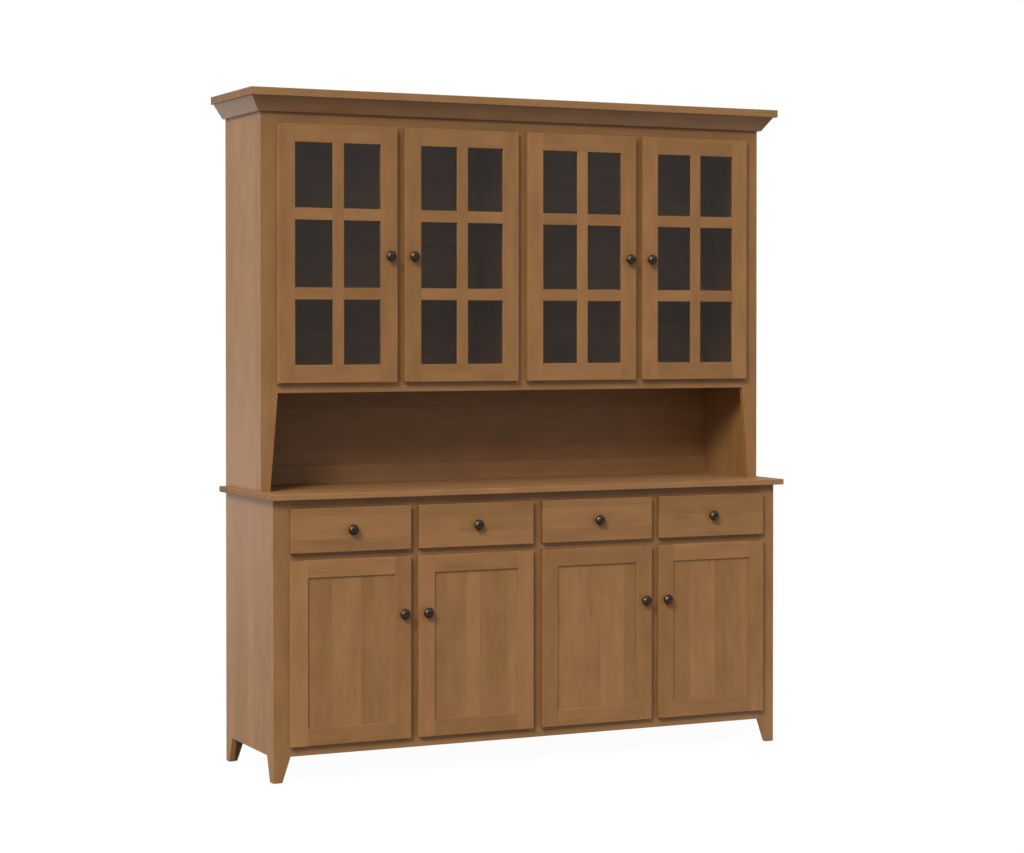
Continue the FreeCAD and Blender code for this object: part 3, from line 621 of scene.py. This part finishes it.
class Joinery:
    """Cuts boards from the frame's nodes and knows which of them meet in a joint."""

    def __init__(self) -> None:
        """Read the solids of every node that is made of boards."""
        self.boards: dict[str, list[Board]] = {}
        for node in frame["nodes"]:
            if not node.endswith("_knob"):
                self.boards[node] = [self.board(solid) for solid in self.solids(node)]

    def solids(self, node: str) -> list[BMesh]:
        """Split a node into its solids, with whole flat faces.

        A node's triangles are loose and lie solid by solid, so one ends where each edge has met its twin.

        Args:
            node: Name of the CAD node.

        Returns:
            One closed mesh for each solid.
        """
        mesh = frame["nodes"][node].data
        runs: list[set[int]] = [set()]
        alone: set[tuple] = set()
        for face in mesh.polygons:
            corners = [tuple(round(c / MERGE) for c in mesh.vertices[i].co) for i in face.vertices]
            for edge in zip(corners, corners[1:] + corners[:1]):
                if edge[::-1] in alone:
                    alone.remove(edge[::-1])
                else:
                    alone.add(edge)
            runs[-1].add(face.index)
            if not alone:
                runs.append(set())
        solids = []
        for run in filter(None, runs):
            solid = bmesh.new()
            solid.from_mesh(mesh)
            others = [face for face in solid.faces if face.index not in run]
            bmesh.ops.delete(solid, geom=others, context="FACES")
            bmesh.ops.remove_doubles(solid, verts=solid.verts, dist=MERGE)
            bmesh.ops.dissolve_limit(solid, angle_limit=FLAT, verts=solid.verts, edges=solid.edges)
            solids.append(solid)
        return solids

    def board(self, solid: BMesh) -> Board:
        """Measure a solid.

        Args:
            solid: Closed mesh of the solid.

        Returns:
            The solid with its box and its skin.
        """
        sides = list(zip(*(vert.co for vert in solid.verts)))
        low, high = Vector(min(side) for side in sides), Vector(max(side) for side in sides)
        return Board(solid, low, high, BVHTree.FromBMesh(solid))

    def neighbours(self, node: str, board: Board) -> list[Board]:
        """List the boards of the same body that meet a board.

        Args:
            node: Node that the board belongs to.
            board: The board.

        Returns:
            Its neighbours, in any node of that body.
        """
        body = frame["nodes"][node]["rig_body"]
        return [
            other
            for name, boards in self.boards.items() if frame["nodes"][name]["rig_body"] == body
            for other in boards if other is not board and board.meets(other)
        ]

    def ease(self, board: Board, others: list[Board], radius: float) -> set[BMFace]:
        """Round the free edges of a board, and leave those that run along a joint.

        Args:
            board: The board.
            others: The boards that meet it.
            radius: Radius of the edges in metres.

        Returns:
            The rounded faces.
        """
        solid = board.solid
        shortest = 3 * radius
        # Edges are cut where a neighbour begins or ends, so that each length is either free or in a joint
        ends = [end for other in others for end in (other.low, other.high)]
        for axis in range(3):
            normal = Vector(float(i == axis) for i in range(3))
            last = board.low[axis]
            for end in sorted(ends, key=lambda corner: corner[axis]):
                if last + shortest < end[axis] < board.high[axis] - shortest:
                    geom = [*solid.verts, *solid.edges, *solid.faces]
                    bmesh.ops.bisect_plane(solid, geom=geom, dist=MERGE, plane_co=end, plane_no=normal)
                    last = end[axis]
        free = [
            edge
            for edge in solid.edges
            if edge.is_manifold and edge.calc_face_angle() > SHARP and edge.calc_length() > shortest
            and not any(other.touches((edge.verts[0].co + edge.verts[1].co) / 2) for other in others)
        ]
        made = bmesh.ops.bevel(
            solid, geom=free, offset=radius, offset_type="OFFSET", affect="EDGES", segments=2, profile=0.5,
            material=-1, clamp_overlap=True,
        )
        return set(made["faces"])

    def lay_grain(self, board: Board, stock: Stock, rounded: set[BMFace], chance: random.Random) -> None:
        """Give a board its run of grain, its own tint and its end grain.

        Args:
            board: The board.
            stock: How it is cut.
            rounded: Its eased faces.
            chance: Source of the board's own numbers.
        """
        size = board.high - board.low
        order = sorted(range(3), key=lambda i: size[i])
        if stock.grain is not None:
            order.remove(stock.grain.value)
            order.append(stock.grain.value)
        through, across, along = order
        middle = (board.low + board.high) / 2
        solid = board.solid
        grain = solid.verts.layers.float_vector.new("grain")
        own = solid.verts.layers.float_vector.new("board")
        edge = solid.faces.layers.float_vector.new("edge")
        strips = 1 / mm(stock.strip) if stock.strip else 0.0
        numbers = Vector((chance.random(), chance.uniform(-1, 1), strips))
        root_end = chance.choice((-1, 1))
        for vert in solid.verts:
            place = vert.co - middle
            vert[grain] = Vector((root_end * place[along], place[across], place[through]))
            vert[own] = numbers
        for face in solid.faces:
            across_fibres = abs(face.normal[along]) > END_GRAIN
            face[edge] = Vector((float(across_fibres), float(face in rounded), 0.0))

    def make(self, node: str, stock: Stock) -> Object:
        """Make the finished boards that stand for a node.

        Args:
            node: Name of the CAD node.
            stock: How its boards are cut.

        Returns:
            The piece, riding on the node's body.
        """
        joined = bmesh.new()
        for number, board in enumerate(self.boards[node]):
            # A thin board has smaller edges
            radius = min(mm(stock.ease), min(board.high - board.low) / 5)
            shape = Board(board.solid.copy(), board.low, board.high, board.skin)
            rounded = self.ease(shape, self.neighbours(node, board), radius)
            self.lay_grain(shape, stock, rounded, random.Random(f"{node} {number}"))
            part = bpy.data.meshes.new("board")
            shape.solid.to_mesh(part)
            shape.solid.free()
            joined.from_mesh(part)
            bpy.data.meshes.remove(part)
        return add_piece(f"{node}_boards", joined, stock.finish, frame["nodes"][node]["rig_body"], [node])


def add_piece(
    name: str, shape: BMesh, finish: Finish, body: str, nodes: Iterable[str] = (),
    smooth: bool = False,
) -> Object:
    """Make a finished piece of the object from a shape.

    Args:
        name: Name of the piece.
        shape: Its mesh, which is used up.
        finish: Its finish.
        body: Body that it rides on.
        nodes: CAD nodes that it stands for.
        smooth: Whether its faces are shaded as one round surface.

    Returns:
        The new object.
    """
    mesh = bpy.data.meshes.new(name)
    shape.to_mesh(mesh)
    shape.free()
    mesh.materials.append(finish.material())
    if smooth:
        mesh.shade_smooth()
        mesh.set_sharp_from_angle(angle=ROUND)
    piece = bpy.data.objects.new(name, mesh)
    bpy.context.scene.collection.objects.link(piece)
    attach(piece, body)
    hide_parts(*nodes)
    LOG.info("%s: %d faces, %s, on %s", name, len(mesh.polygons), finish.name, body)
    return piece


def at(radius: float, depth: float) -> Vector:
    """Return a point of a half profile, at a radius from the Y axis and a depth towards -Y."""
    return Vector((radius, -depth, 0))


def turned(profile: list[Vector], steps: int) -> BMesh:
    """Turn a half profile round the Y axis into a closed solid.

    Args:
        profile: Its points, from axis to axis.
        steps: Faces round the axis.

    Returns:
        The turned solid.
    """
    shape = bmesh.new()
    verts = [shape.verts.new(point) for point in profile]
    edges = [shape.edges.new(pair) for pair in zip(verts, verts[1:])]
    bmesh.ops.spin(
        shape, geom=[*verts, *edges], cent=(0, 0, 0), axis=(0, 1, 0), angle=2 * math.pi, steps=steps,
        use_merge=True,
    )
    bmesh.ops.remove_doubles(shape, verts=shape.verts, dist=MERGE)
    bmesh.ops.recalc_face_normals(shape, faces=shape.faces)
    return shape


def copies(shape: BMesh, places: Iterable[Matrix]) -> BMesh:
    """Set copies of one shape at several places.

    Args:
        shape: The shape, which is used up.
        places: Where each copy goes.

    Returns:
        All the copies in one mesh.
    """
    pattern = bpy.data.meshes.new("pattern")
    shape.to_mesh(pattern)
    shape.free()
    joined = bmesh.new()
    for place in places:
        pattern.transform(place)
        joined.from_mesh(pattern)
        pattern.transform(place.inverted())
    bpy.data.meshes.remove(pattern)
    return joined


def facing(place: Iterable[float], way: Iterable[float]) -> Matrix:
    """Return the place of a turned piece whose -Y axis points a way."""
    turn = Vector((0, -1, 0)).rotation_difference(Vector(way))
    return Matrix.Translation(Vector(place)) @ turn.to_matrix().to_4x4()


@dataclass(frozen=True)
class Screw:
    """A pan-head screw with a cross recess, in mm."""

    head: float = 7.0
    rise: float = 1.8
    recess: float = 1.0
    steps: int = 16
    arms: int = 4

    def shape(self) -> BMesh:
        """Turn one head and press its recess in.

        Returns:
            The head, with its seat at the origin and its recess towards -Y.
        """
        radius, top = mm(self.head / 2), mm(self.rise)
        rim = interpolate_bezier(
            at(radius, top * 0.3), at(radius, top * 0.8), at(radius * 0.8, top), at(radius * 0.55, top), 5
        )
        shape = turned([at(0, 0), at(radius, 0), *rim, at(0, top)], self.steps)
        crest = [face for face in shape.faces if face.calc_center_median().y < -top * 0.99]
        around = sorted(crest, key=lambda face: math.atan2(*face.calc_center_median().zx))
        cross = around[::self.steps // self.arms]
        bmesh.ops.inset_individual(shape, faces=cross, thickness=radius * 0.04)
        bmesh.ops.translate(
            shape, vec=(0, mm(self.recess), 0), verts=list({vert for face in cross for vert in face.verts})
        )
        return shape

    def drive(self, name: str, places: Iterable[Matrix], body: str) -> Object:
        """Set screws into a body.

        Args:
            name: Name of the piece.
            places: Seats of the screws.
            body: Body that they ride on.

        Returns:
            All the screw heads as one piece.
        """
        return add_piece(name, copies(self.shape(), places), ZINC_STEEL, body)


@dataclass(frozen=True)
class Bumper:
    """A soft dot that a door or drawer closes on, in mm."""

    diameter: float = 4.0
    height: float = 1.7
    steps: int = 16

    def stick(self, name: str, places: Iterable[Matrix], body: str) -> Object:
        """Stick dots on a body.

        Args:
            name: Name of the piece.
            places: Seats of the dots.
            body: Body that they ride on.

        Returns:
            All the dots as one piece.
        """
        radius, top = mm(self.diameter / 2), mm(self.height)
        dome = interpolate_bezier(
            at(radius, 0), at(radius, top * 0.9), at(radius * 0.6, top), at(0, top), 7
        )
        shape = turned([at(0, 0), *dome], self.steps)
        return add_piece(name, copies(shape, places), BUMPER_PLASTIC, body, smooth=True)


@dataclass(frozen=True)
class Knob:
    """A mushroom knob turned from bar, in mm: flange, waisted neck, rim with a bead, and dome.

    Its widest radius and its length come from the frame.
    """

    flange: float = 22.0
    flange_thick: float = 2.4
    neck: float = 12.5
    neck_depth: float = 9.0
    rim_depth: float = 15.8
    rim_width: float = 2.6
    bead: float = 0.8
    bead_end: float = 0.9
    groove: float = 1.1
    steps: int = 48

    def fit(self, owner: str) -> Object:
        """Fit a knob where the frame has it.

        Args:
            owner: Door or drawer that carries it.

        Returns:
            The knob as a piece on that body.
        """
        node = f"{owner}_knob"
        low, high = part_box(node)
        radius, length = (high.x - low.x) / 2, high.y - low.y
        flange, neck = mm(self.flange / 2), mm(self.neck / 2)
        thick, waist, under, wide = (
            mm(depth) for depth in (self.flange_thick, self.neck_depth, self.rim_depth, self.rim_width)
        )
        # Each curve has its two ends, and between them the two points that it bends towards
        cove = interpolate_bezier(
            at(flange, thick), at(neck + mm(0.6), thick), at(neck, waist * 0.6), at(neck, waist), 8
        )
        bead_start = at(radius - mm(self.bead), under)
        flare = interpolate_bezier(
            at(neck, waist), at(neck, waist + mm(4)), at(radius * 0.7, under - mm(1.5)), bead_start, 10
        )
        bead = interpolate_bezier(
            bead_start, at(radius + mm(0.25), under), at(radius + mm(0.25), under + wide),
            at(radius - mm(self.bead_end), under + wide), 9,
        )
        dome = interpolate_bezier(
            at(radius - mm(self.groove), under + wide), at(radius * 0.82, length - mm(2.2)),
            at(radius * 0.45, length), at(0, length), 14,
        )
        shape = turned([at(0, 0), at(flange, 0), *cove, *flare[1:], *bead[1:], *dome], self.steps)
        seat = Vector(((low.x + high.x) / 2, high.y, (low.z + high.z) / 2))
        bmesh.ops.translate(shape, vec=seat, verts=shape.verts)
        body = frame["nodes"][node]["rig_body"]
        return add_piece(f"{owner}_pull", shape, DARK_BRONZE, body, [node], smooth=True)


@dataclass
class Assembly:
    """A part of the dresser: its boards, and the small pieces that dress them."""

    joinery: Joinery

    def build(self) -> None:
        """Make the boards."""
        raise NotImplementedError

    def dress(self) -> None:
        """Fit the small pieces, where there are any."""

    def cut(self, stocks: dict[str, Stock]) -> None:
        """Make the boards of several nodes."""
        for node, stock in stocks.items():
            self.joinery.make(node, stock)


@dataclass
class Case(Assembly):
    """What the base and the hutch share: a back that is screwed on. Sizes in mm."""

    inner_strip: float = 85.0
    back_ease: float = 0.4
    screw_clearance: float = 30.0
    screw: Screw = Screw()

    def back_places(
        self, columns: tuple[float, float, float], rows: tuple[float, float], pitch: float
    ) -> list[tuple[float, float]]:
        """Space screws up three columns and along two rows.

        Args:
            columns: X of the sides and of the middle.
            rows: Z of the lower and the upper row.
            pitch: Most distance between two screws, in metres.

        Returns:
            X and z of each screw. A row's screws stay clear of the middle column.
        """
        left, _, right = columns
        clear = mm(self.screw_clearance)
        between = [x for x in spaced(left, right, pitch)[1:-1] if abs(x) > clear]
        up = [(x, z) for x in columns for z in spaced(*rows, pitch)]
        return up + [(x, z) for z in rows for x in between]

    def screw_back(self, name: str, y: float, places: Iterable[tuple[float, float]]) -> None:
        """Drive screws into a back.

        Args:
            name: Name of the piece.
            y: Y of the back's outer face.
            places: X and z of each screw.
        """
        self.screw.drive(name, [facing((x, y, z), BACK) for x, z in places], "case")


@dataclass
class BaseCase(Case):
    """The base: sides, face frame, floor, partitions, shelves, back, runners and countertop. Sizes in mm."""

    side_strip: float = 66.0
    counter_strip: float = 92.0
    counter_ease: float = 2.0
    back_strip: float = 150.0
    screw_pitch: float = 210.0
    top_margin: float = 10.0

    def build(self) -> None:
        """Make the boards of the base."""
        sides = Stock(strip=self.side_strip)
        inner = Stock(strip=self.inner_strip)
        self.cut({
            "base_side_left": sides, "base_side_right": sides, "base_frame_stiles": Stock(),
            "base_frame_rails": Stock(grain=Axis.X), "base_bottom": inner, "base_partitions": inner,
            "base_shelves": inner, "rear_leg_blocks": Stock(grain=Axis.Z),
            "base_back": Stock(STAINED_VENEER, strip=self.back_strip, ease=self.back_ease, grain=Axis.X),
            "drawer_runners": Stock(CLEAR_MAPLE),
            # The counter's finish has painted light: paler wood for the light from above on its top
            "countertop": Stock(COUNTER_MAPLE_PAINTED_LIGHT, strip=self.counter_strip, ease=self.counter_ease),
        })

    def dress(self) -> None:
        """Drive the screws that hold the back."""
        low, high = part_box("base_back")
        floor_low, floor_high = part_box("base_bottom")
        side = (low.x - floor_low.x) / 2
        rows = (floor_low.z + floor_high.z) / 2, high.z - mm(self.top_margin)
        columns = low.x - side, 0.0, high.x + side
        places = self.back_places(columns, rows, mm(self.screw_pitch))
        self.screw_back("base_back_screws", high.y, places)


@dataclass
class HutchCase(Case):
    """The hutch: sides, face frame, floor, top, partition, shelves, cleats and back. Sizes in mm."""

    side_strip: float = 72.0
    back_strip: float = 78.0
    screw_pitch: float = 230.0
    foot_margin: float = 40.0
    cleat_screw_inset: float = 45.0
    least_wall: float = 200.0

    def build(self) -> None:
        """Make the boards of the hutch."""
        sides = Stock(strip=self.side_strip)
        inner = Stock(strip=self.inner_strip)
        self.cut({
            "hutch_side_left": sides, "hutch_side_right": sides, "hutch_frame_stiles": Stock(),
            "hutch_frame_rails": Stock(), "hutch_bottom": inner, "hutch_top": inner,
            "hutch_partition": inner, "hutch_shelves": inner, "shelf_cleats": Stock(),
            "hutch_back": Stock(STAINED_VENEER, strip=self.back_strip, ease=self.back_ease, grain=Axis.X),
        })

    def dress(self) -> None:
        """Drive the screws that hold the back and the cleats."""
        low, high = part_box("hutch_back")
        floor_low, floor_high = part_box("hutch_bottom")
        top_low, top_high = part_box("hutch_top")
        side = (low.x - floor_low.x) / 2
        rows = (floor_low.z + floor_high.z) / 2, (top_low.z + top_high.z) / 2
        left, right = low.x - side, high.x + side
        pitch = mm(self.screw_pitch)
        places = self.back_places((left, 0.0, right), rows, pitch)
        beside_niche = spaced(low.z + mm(self.foot_margin), rows[0], pitch)[:-1]
        places += [(x, z) for x in (left, right) for z in beside_niche]
        self.screw_back("hutch_back_screws", high.y, places)
        self.screw.drive("cleat_screws", self.cleat_seats(), "case")

    def cleat_seats(self) -> list[Matrix]:
        """Find two screw seats on the free side of each cleat.

        Returns:
            The seats of all the cleats.
        """
        seats = []
        inset = mm(self.cleat_screw_inset)
        least = mm(self.least_wall)
        for cleat in self.joinery.boards["shelf_cleats"]:
            walls = [
                other for other in self.joinery.neighbours("shelf_cleats", cleat)
                if other.high.z - other.low.z > least and other.high.y - other.low.y > least
            ]
            way = 1 if any(wall.high.x < cleat.low.x + TOUCH for wall in walls) else -1
            x = cleat.high.x if way == 1 else cleat.low.x
            z = (cleat.low.z + cleat.high.z) / 2
            seats += [facing((x, y, z), (way, 0, 0)) for y in (cleat.low.y + inset, cleat.high.y - inset)]
        return seats


@dataclass
class Crown(Assembly):
    """The sloped moulding with its mitred returns, and the cap board over it. Sizes in mm."""

    cap_strip: float = 95.0
    ease: float = 1.5

    def build(self) -> None:
        """Make the boards of the crown."""
        self.cut({
            "crown_moulding": Stock(ease=self.ease),
            "crown_cap": Stock(RUBBED_MAPLE, strip=self.cap_strip, ease=self.ease),
        })


@dataclass
class Pulled(Assembly):
    """What the doors and drawers share: a knob with its screw, and bumpers. Sizes in mm."""

    name: str
    bumper_inset: float = 3.6
    knob: Knob = Knob()
    bumper: Bumper = Bumper()
    knob_screw: Screw = Screw(head=9.0, rise=2.2)

    def fit_knob(self, y: float) -> None:
        """Fit the knob, and its screw from inside.

        Args:
            y: Y of the inner face that the screw's head lies on.
        """
        self.knob.fit(self.name)
        low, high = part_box(f"{self.name}_knob")
        seat = facing(((low.x + high.x) / 2, y, (low.z + high.z) / 2), BACK)
        self.knob_screw.drive(f"{self.name}_pull_screw", [seat], self.name)

    def stick_bumpers(self, places: Iterable[tuple[float, float, float]]) -> None:
        """Stick bumpers on the inner face, at places in metres."""
        dots = [facing(place, BACK) for place in places]
        self.bumper.stick(f"{self.name}_bumpers", dots, self.name)


@dataclass
class Door(Pulled):
    """What all the doors share: hung edge, knob at the stile, and bumpers at the free edge. Sizes in mm."""

    hung: Hung = Hung.LEFT
    ease: float = 2.4
    bumper_rise: float = 45.0

    def dress(self) -> None:
        """Fit the knob and the bumpers."""
        low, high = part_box(f"{self.name}_frame")
        self.fit_knob(high.y)
        inset, rise = mm(self.bumper_inset), mm(self.bumper_rise)
        x = high.x - inset if self.hung is Hung.LEFT else low.x + inset
        self.stick_bumpers((x, high.y, z) for z in (low.z + rise, high.z - rise))


@dataclass
class GlazedDoor(Door):
    """A hutch door: frame, bars and stops round one sheet of glass."""

    glass_ease: float = 0.4

    def build(self) -> None:
        """Make the frame and the glass."""
        self.cut({
            f"{self.name}_frame": Stock(ease=self.ease),
            f"{self.name}_glass": Stock(WINDOW_GLASS, ease=self.glass_ease),
        })


@dataclass
class PanelledDoor(Door):
    """A base door: a frame round a flat panel of glued strips."""

    panel_strip: float = 52.0

    def build(self) -> None:
        """Make the frame and the panel."""
        self.cut({
            f"{self.name}_frame": Stock(ease=self.ease),
            f"{self.name}_panel": Stock(strip=self.panel_strip, grain=Axis.Z),
        })


@dataclass
class Drawer(Pulled):
    """A drawer: slab front and dovetailed box, with a knob, its screw and bumpers. Sizes in mm."""

    front_strip: float = 74.0
    front_ease: float = 2.4
    box_ease: float = 0.8
    least_inner: float = 30.0
    bumper_drop: float = 20.0

    def build(self) -> None:
        """Make the front and the box."""
        self.cut({
            f"{self.name}_front": Stock(strip=self.front_strip, ease=self.front_ease, grain=Axis.X),
            f"{self.name}_box": Stock(CLEAR_MAPLE, ease=self.box_ease),
        })

    def dress(self) -> None:
        """Fit the knob, its screw inside the box and the bumpers behind the front."""
        low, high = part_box(f"{self.name}_front")
        wide, tall = (high.x - low.x) / 2, mm(self.least_inner)
        upright = [
            board for board in self.joinery.boards[f"{self.name}_box"]
            if board.high.x - board.low.x > wide and board.high.z - board.low.z > tall
        ]
        inner_front = min(upright, key=lambda board: board.low.y)
        self.fit_knob(inner_front.high.y)
        inset, z = mm(self.bumper_inset), high.z - mm(self.bumper_drop)
        self.stick_bumpers((x, high.y, z) for x in (low.x + inset, high.x - inset))


@dataclass
class Hinges(Assembly):
    """The pivot hinges let into the case. Sizes in mm."""

    ease: float = 0.3

    def build(self) -> None:
        """Make the hinge plates and pins."""
        self.cut({"door_hinges": Stock(BROWN_STEEL, ease=self.ease)})


@dataclass
class Studio:
    """Floor, light and camera. Metres and degrees, and pixels of the photograph where named."""

    photo_width: int = 1024
    photo_height: int = 853
    focal_pixels: float = 2386.43
    axis_row: float = 361.7
    camera_place: tuple[float, float, float] = (-3.4414, -7.2581, 1.4272)
    camera_yaw: float = 25.44
    camera_dip: float = 0.8
    sensor: float = 36.0
    floor_side: float = 60.0
    sheet_level: float = 0.18
    room_level: float = 0.25
    overhead_level: float = 1.2
    left_level: float = 1.7
    left_focus: float = 3.0
    key_way: tuple[float, float, float] = (-0.60, -0.59, 0.535)
    key_spread: float = 18.0
    key_strength: float = 2.6

    def build(self) -> None:
        """Set up the stage."""
        self.lay_floor()
        self.light_world()
        self.hang_key()
        self.place_camera()
        bpy.context.scene.view_settings.view_transform = "Standard"

    def lay_floor(self) -> None:
        """Lay the white floor, which isn't part of the object."""
        shape = bmesh.new()
        bmesh.ops.create_grid(shape, x_segments=1, y_segments=1, size=self.floor_side / 2)
        mesh = bpy.data.meshes.new("floor")
        shape.to_mesh(mesh)
        shape.free()
        mesh.materials.append(WHITE_PAPER.material())
        floor = bpy.data.objects.new("floor", mesh)
        bpy.context.scene.collection.objects.link(floor)

    def light_world(self) -> None:
        """Light the room softly from overhead and from the left, and show it as white where it is seen."""
        world = bpy.data.worlds.new("studio")
        world.use_nodes = True
        tree = world.node_tree
        tree.nodes.clear()
        way = add_node(tree, "TexCoord").outputs["Generated"]
        right, back, rise = add_node(tree, "SeparateXYZ", {0: way}).outputs
        left = add_node(tree, "MapRange", {0: right, 2: -1.0})
        left = add_node(tree, "Math", {0: left, 1: self.left_focus}, operation="POWER")
        over = add_node(tree, "MapRange", {0: rise, 3: self.room_level, 4: self.overhead_level})
        room = add_node(tree, "Math", {0: left, 1: self.left_level, 2: over}, operation="MULTIPLY_ADD")
        share = seen_share(tree, back, self.sheet_level)
        level = add_node(tree, "MapRange", {0: share, 3: room, 4: 1.0})
        sky = add_node(tree, "Background", {"Strength": level, "Color": (1.0, 1.0, 1.0, 1.0)})
        add_node(tree, "OutputWorld", {"Surface": sky})
        bpy.context.scene.world = world

    def hang_key(self) -> None:
        """Hang the soft key light to the upper left of the front."""
        light = bpy.data.lights.new("key", "SUN")
        light.angle = math.radians(self.key_spread)
        light.energy = self.key_strength
        key = bpy.data.objects.new("key", light)
        key.rotation_euler = Vector(self.key_way).to_track_quat("Z", "Y").to_euler()
        bpy.context.scene.collection.objects.link(key)

    def place_camera(self) -> None:
        """Place the camera where the photograph was taken from."""
        lens = bpy.data.cameras.new("camera")
        lens.sensor_width = self.sensor
        lens.lens = self.focal_pixels * self.sensor / self.photo_width
        lens.shift_y = (self.axis_row - self.photo_height / 2) / self.photo_width
        camera = bpy.data.objects.new("camera", lens)
        camera.location = self.camera_place
        camera.rotation_euler = (math.radians(90 - self.camera_dip), 0, math.radians(-self.camera_yaw))
        bpy.context.scene.collection.objects.link(camera)
        bpy.context.scene.camera = camera


def main() -> None:
    """Build and dress the sub-assemblies, and set up the studio."""
    logging.basicConfig(level=logging.INFO, format="%(name)s: %(message)s")
    joinery = Joinery()
    hung = {1: Hung.LEFT, 2: Hung.RIGHT, 3: Hung.LEFT, 4: Hung.RIGHT}
    parts: list[Assembly] = [BaseCase(joinery), HutchCase(joinery), Crown(joinery), Hinges(joinery)]
    parts += [GlazedDoor(joinery, f"hutch_door_{n}", hung=side) for n, side in hung.items()]
    parts += [PanelledDoor(joinery, f"base_door_{n}", hung=side) for n, side in hung.items()]
    parts += [Drawer(joinery, f"drawer_{n}") for n in hung]
    for part in parts:
        part.build()
        part.dress()
    Studio().build()


if __name__ == "__main__":
    main()
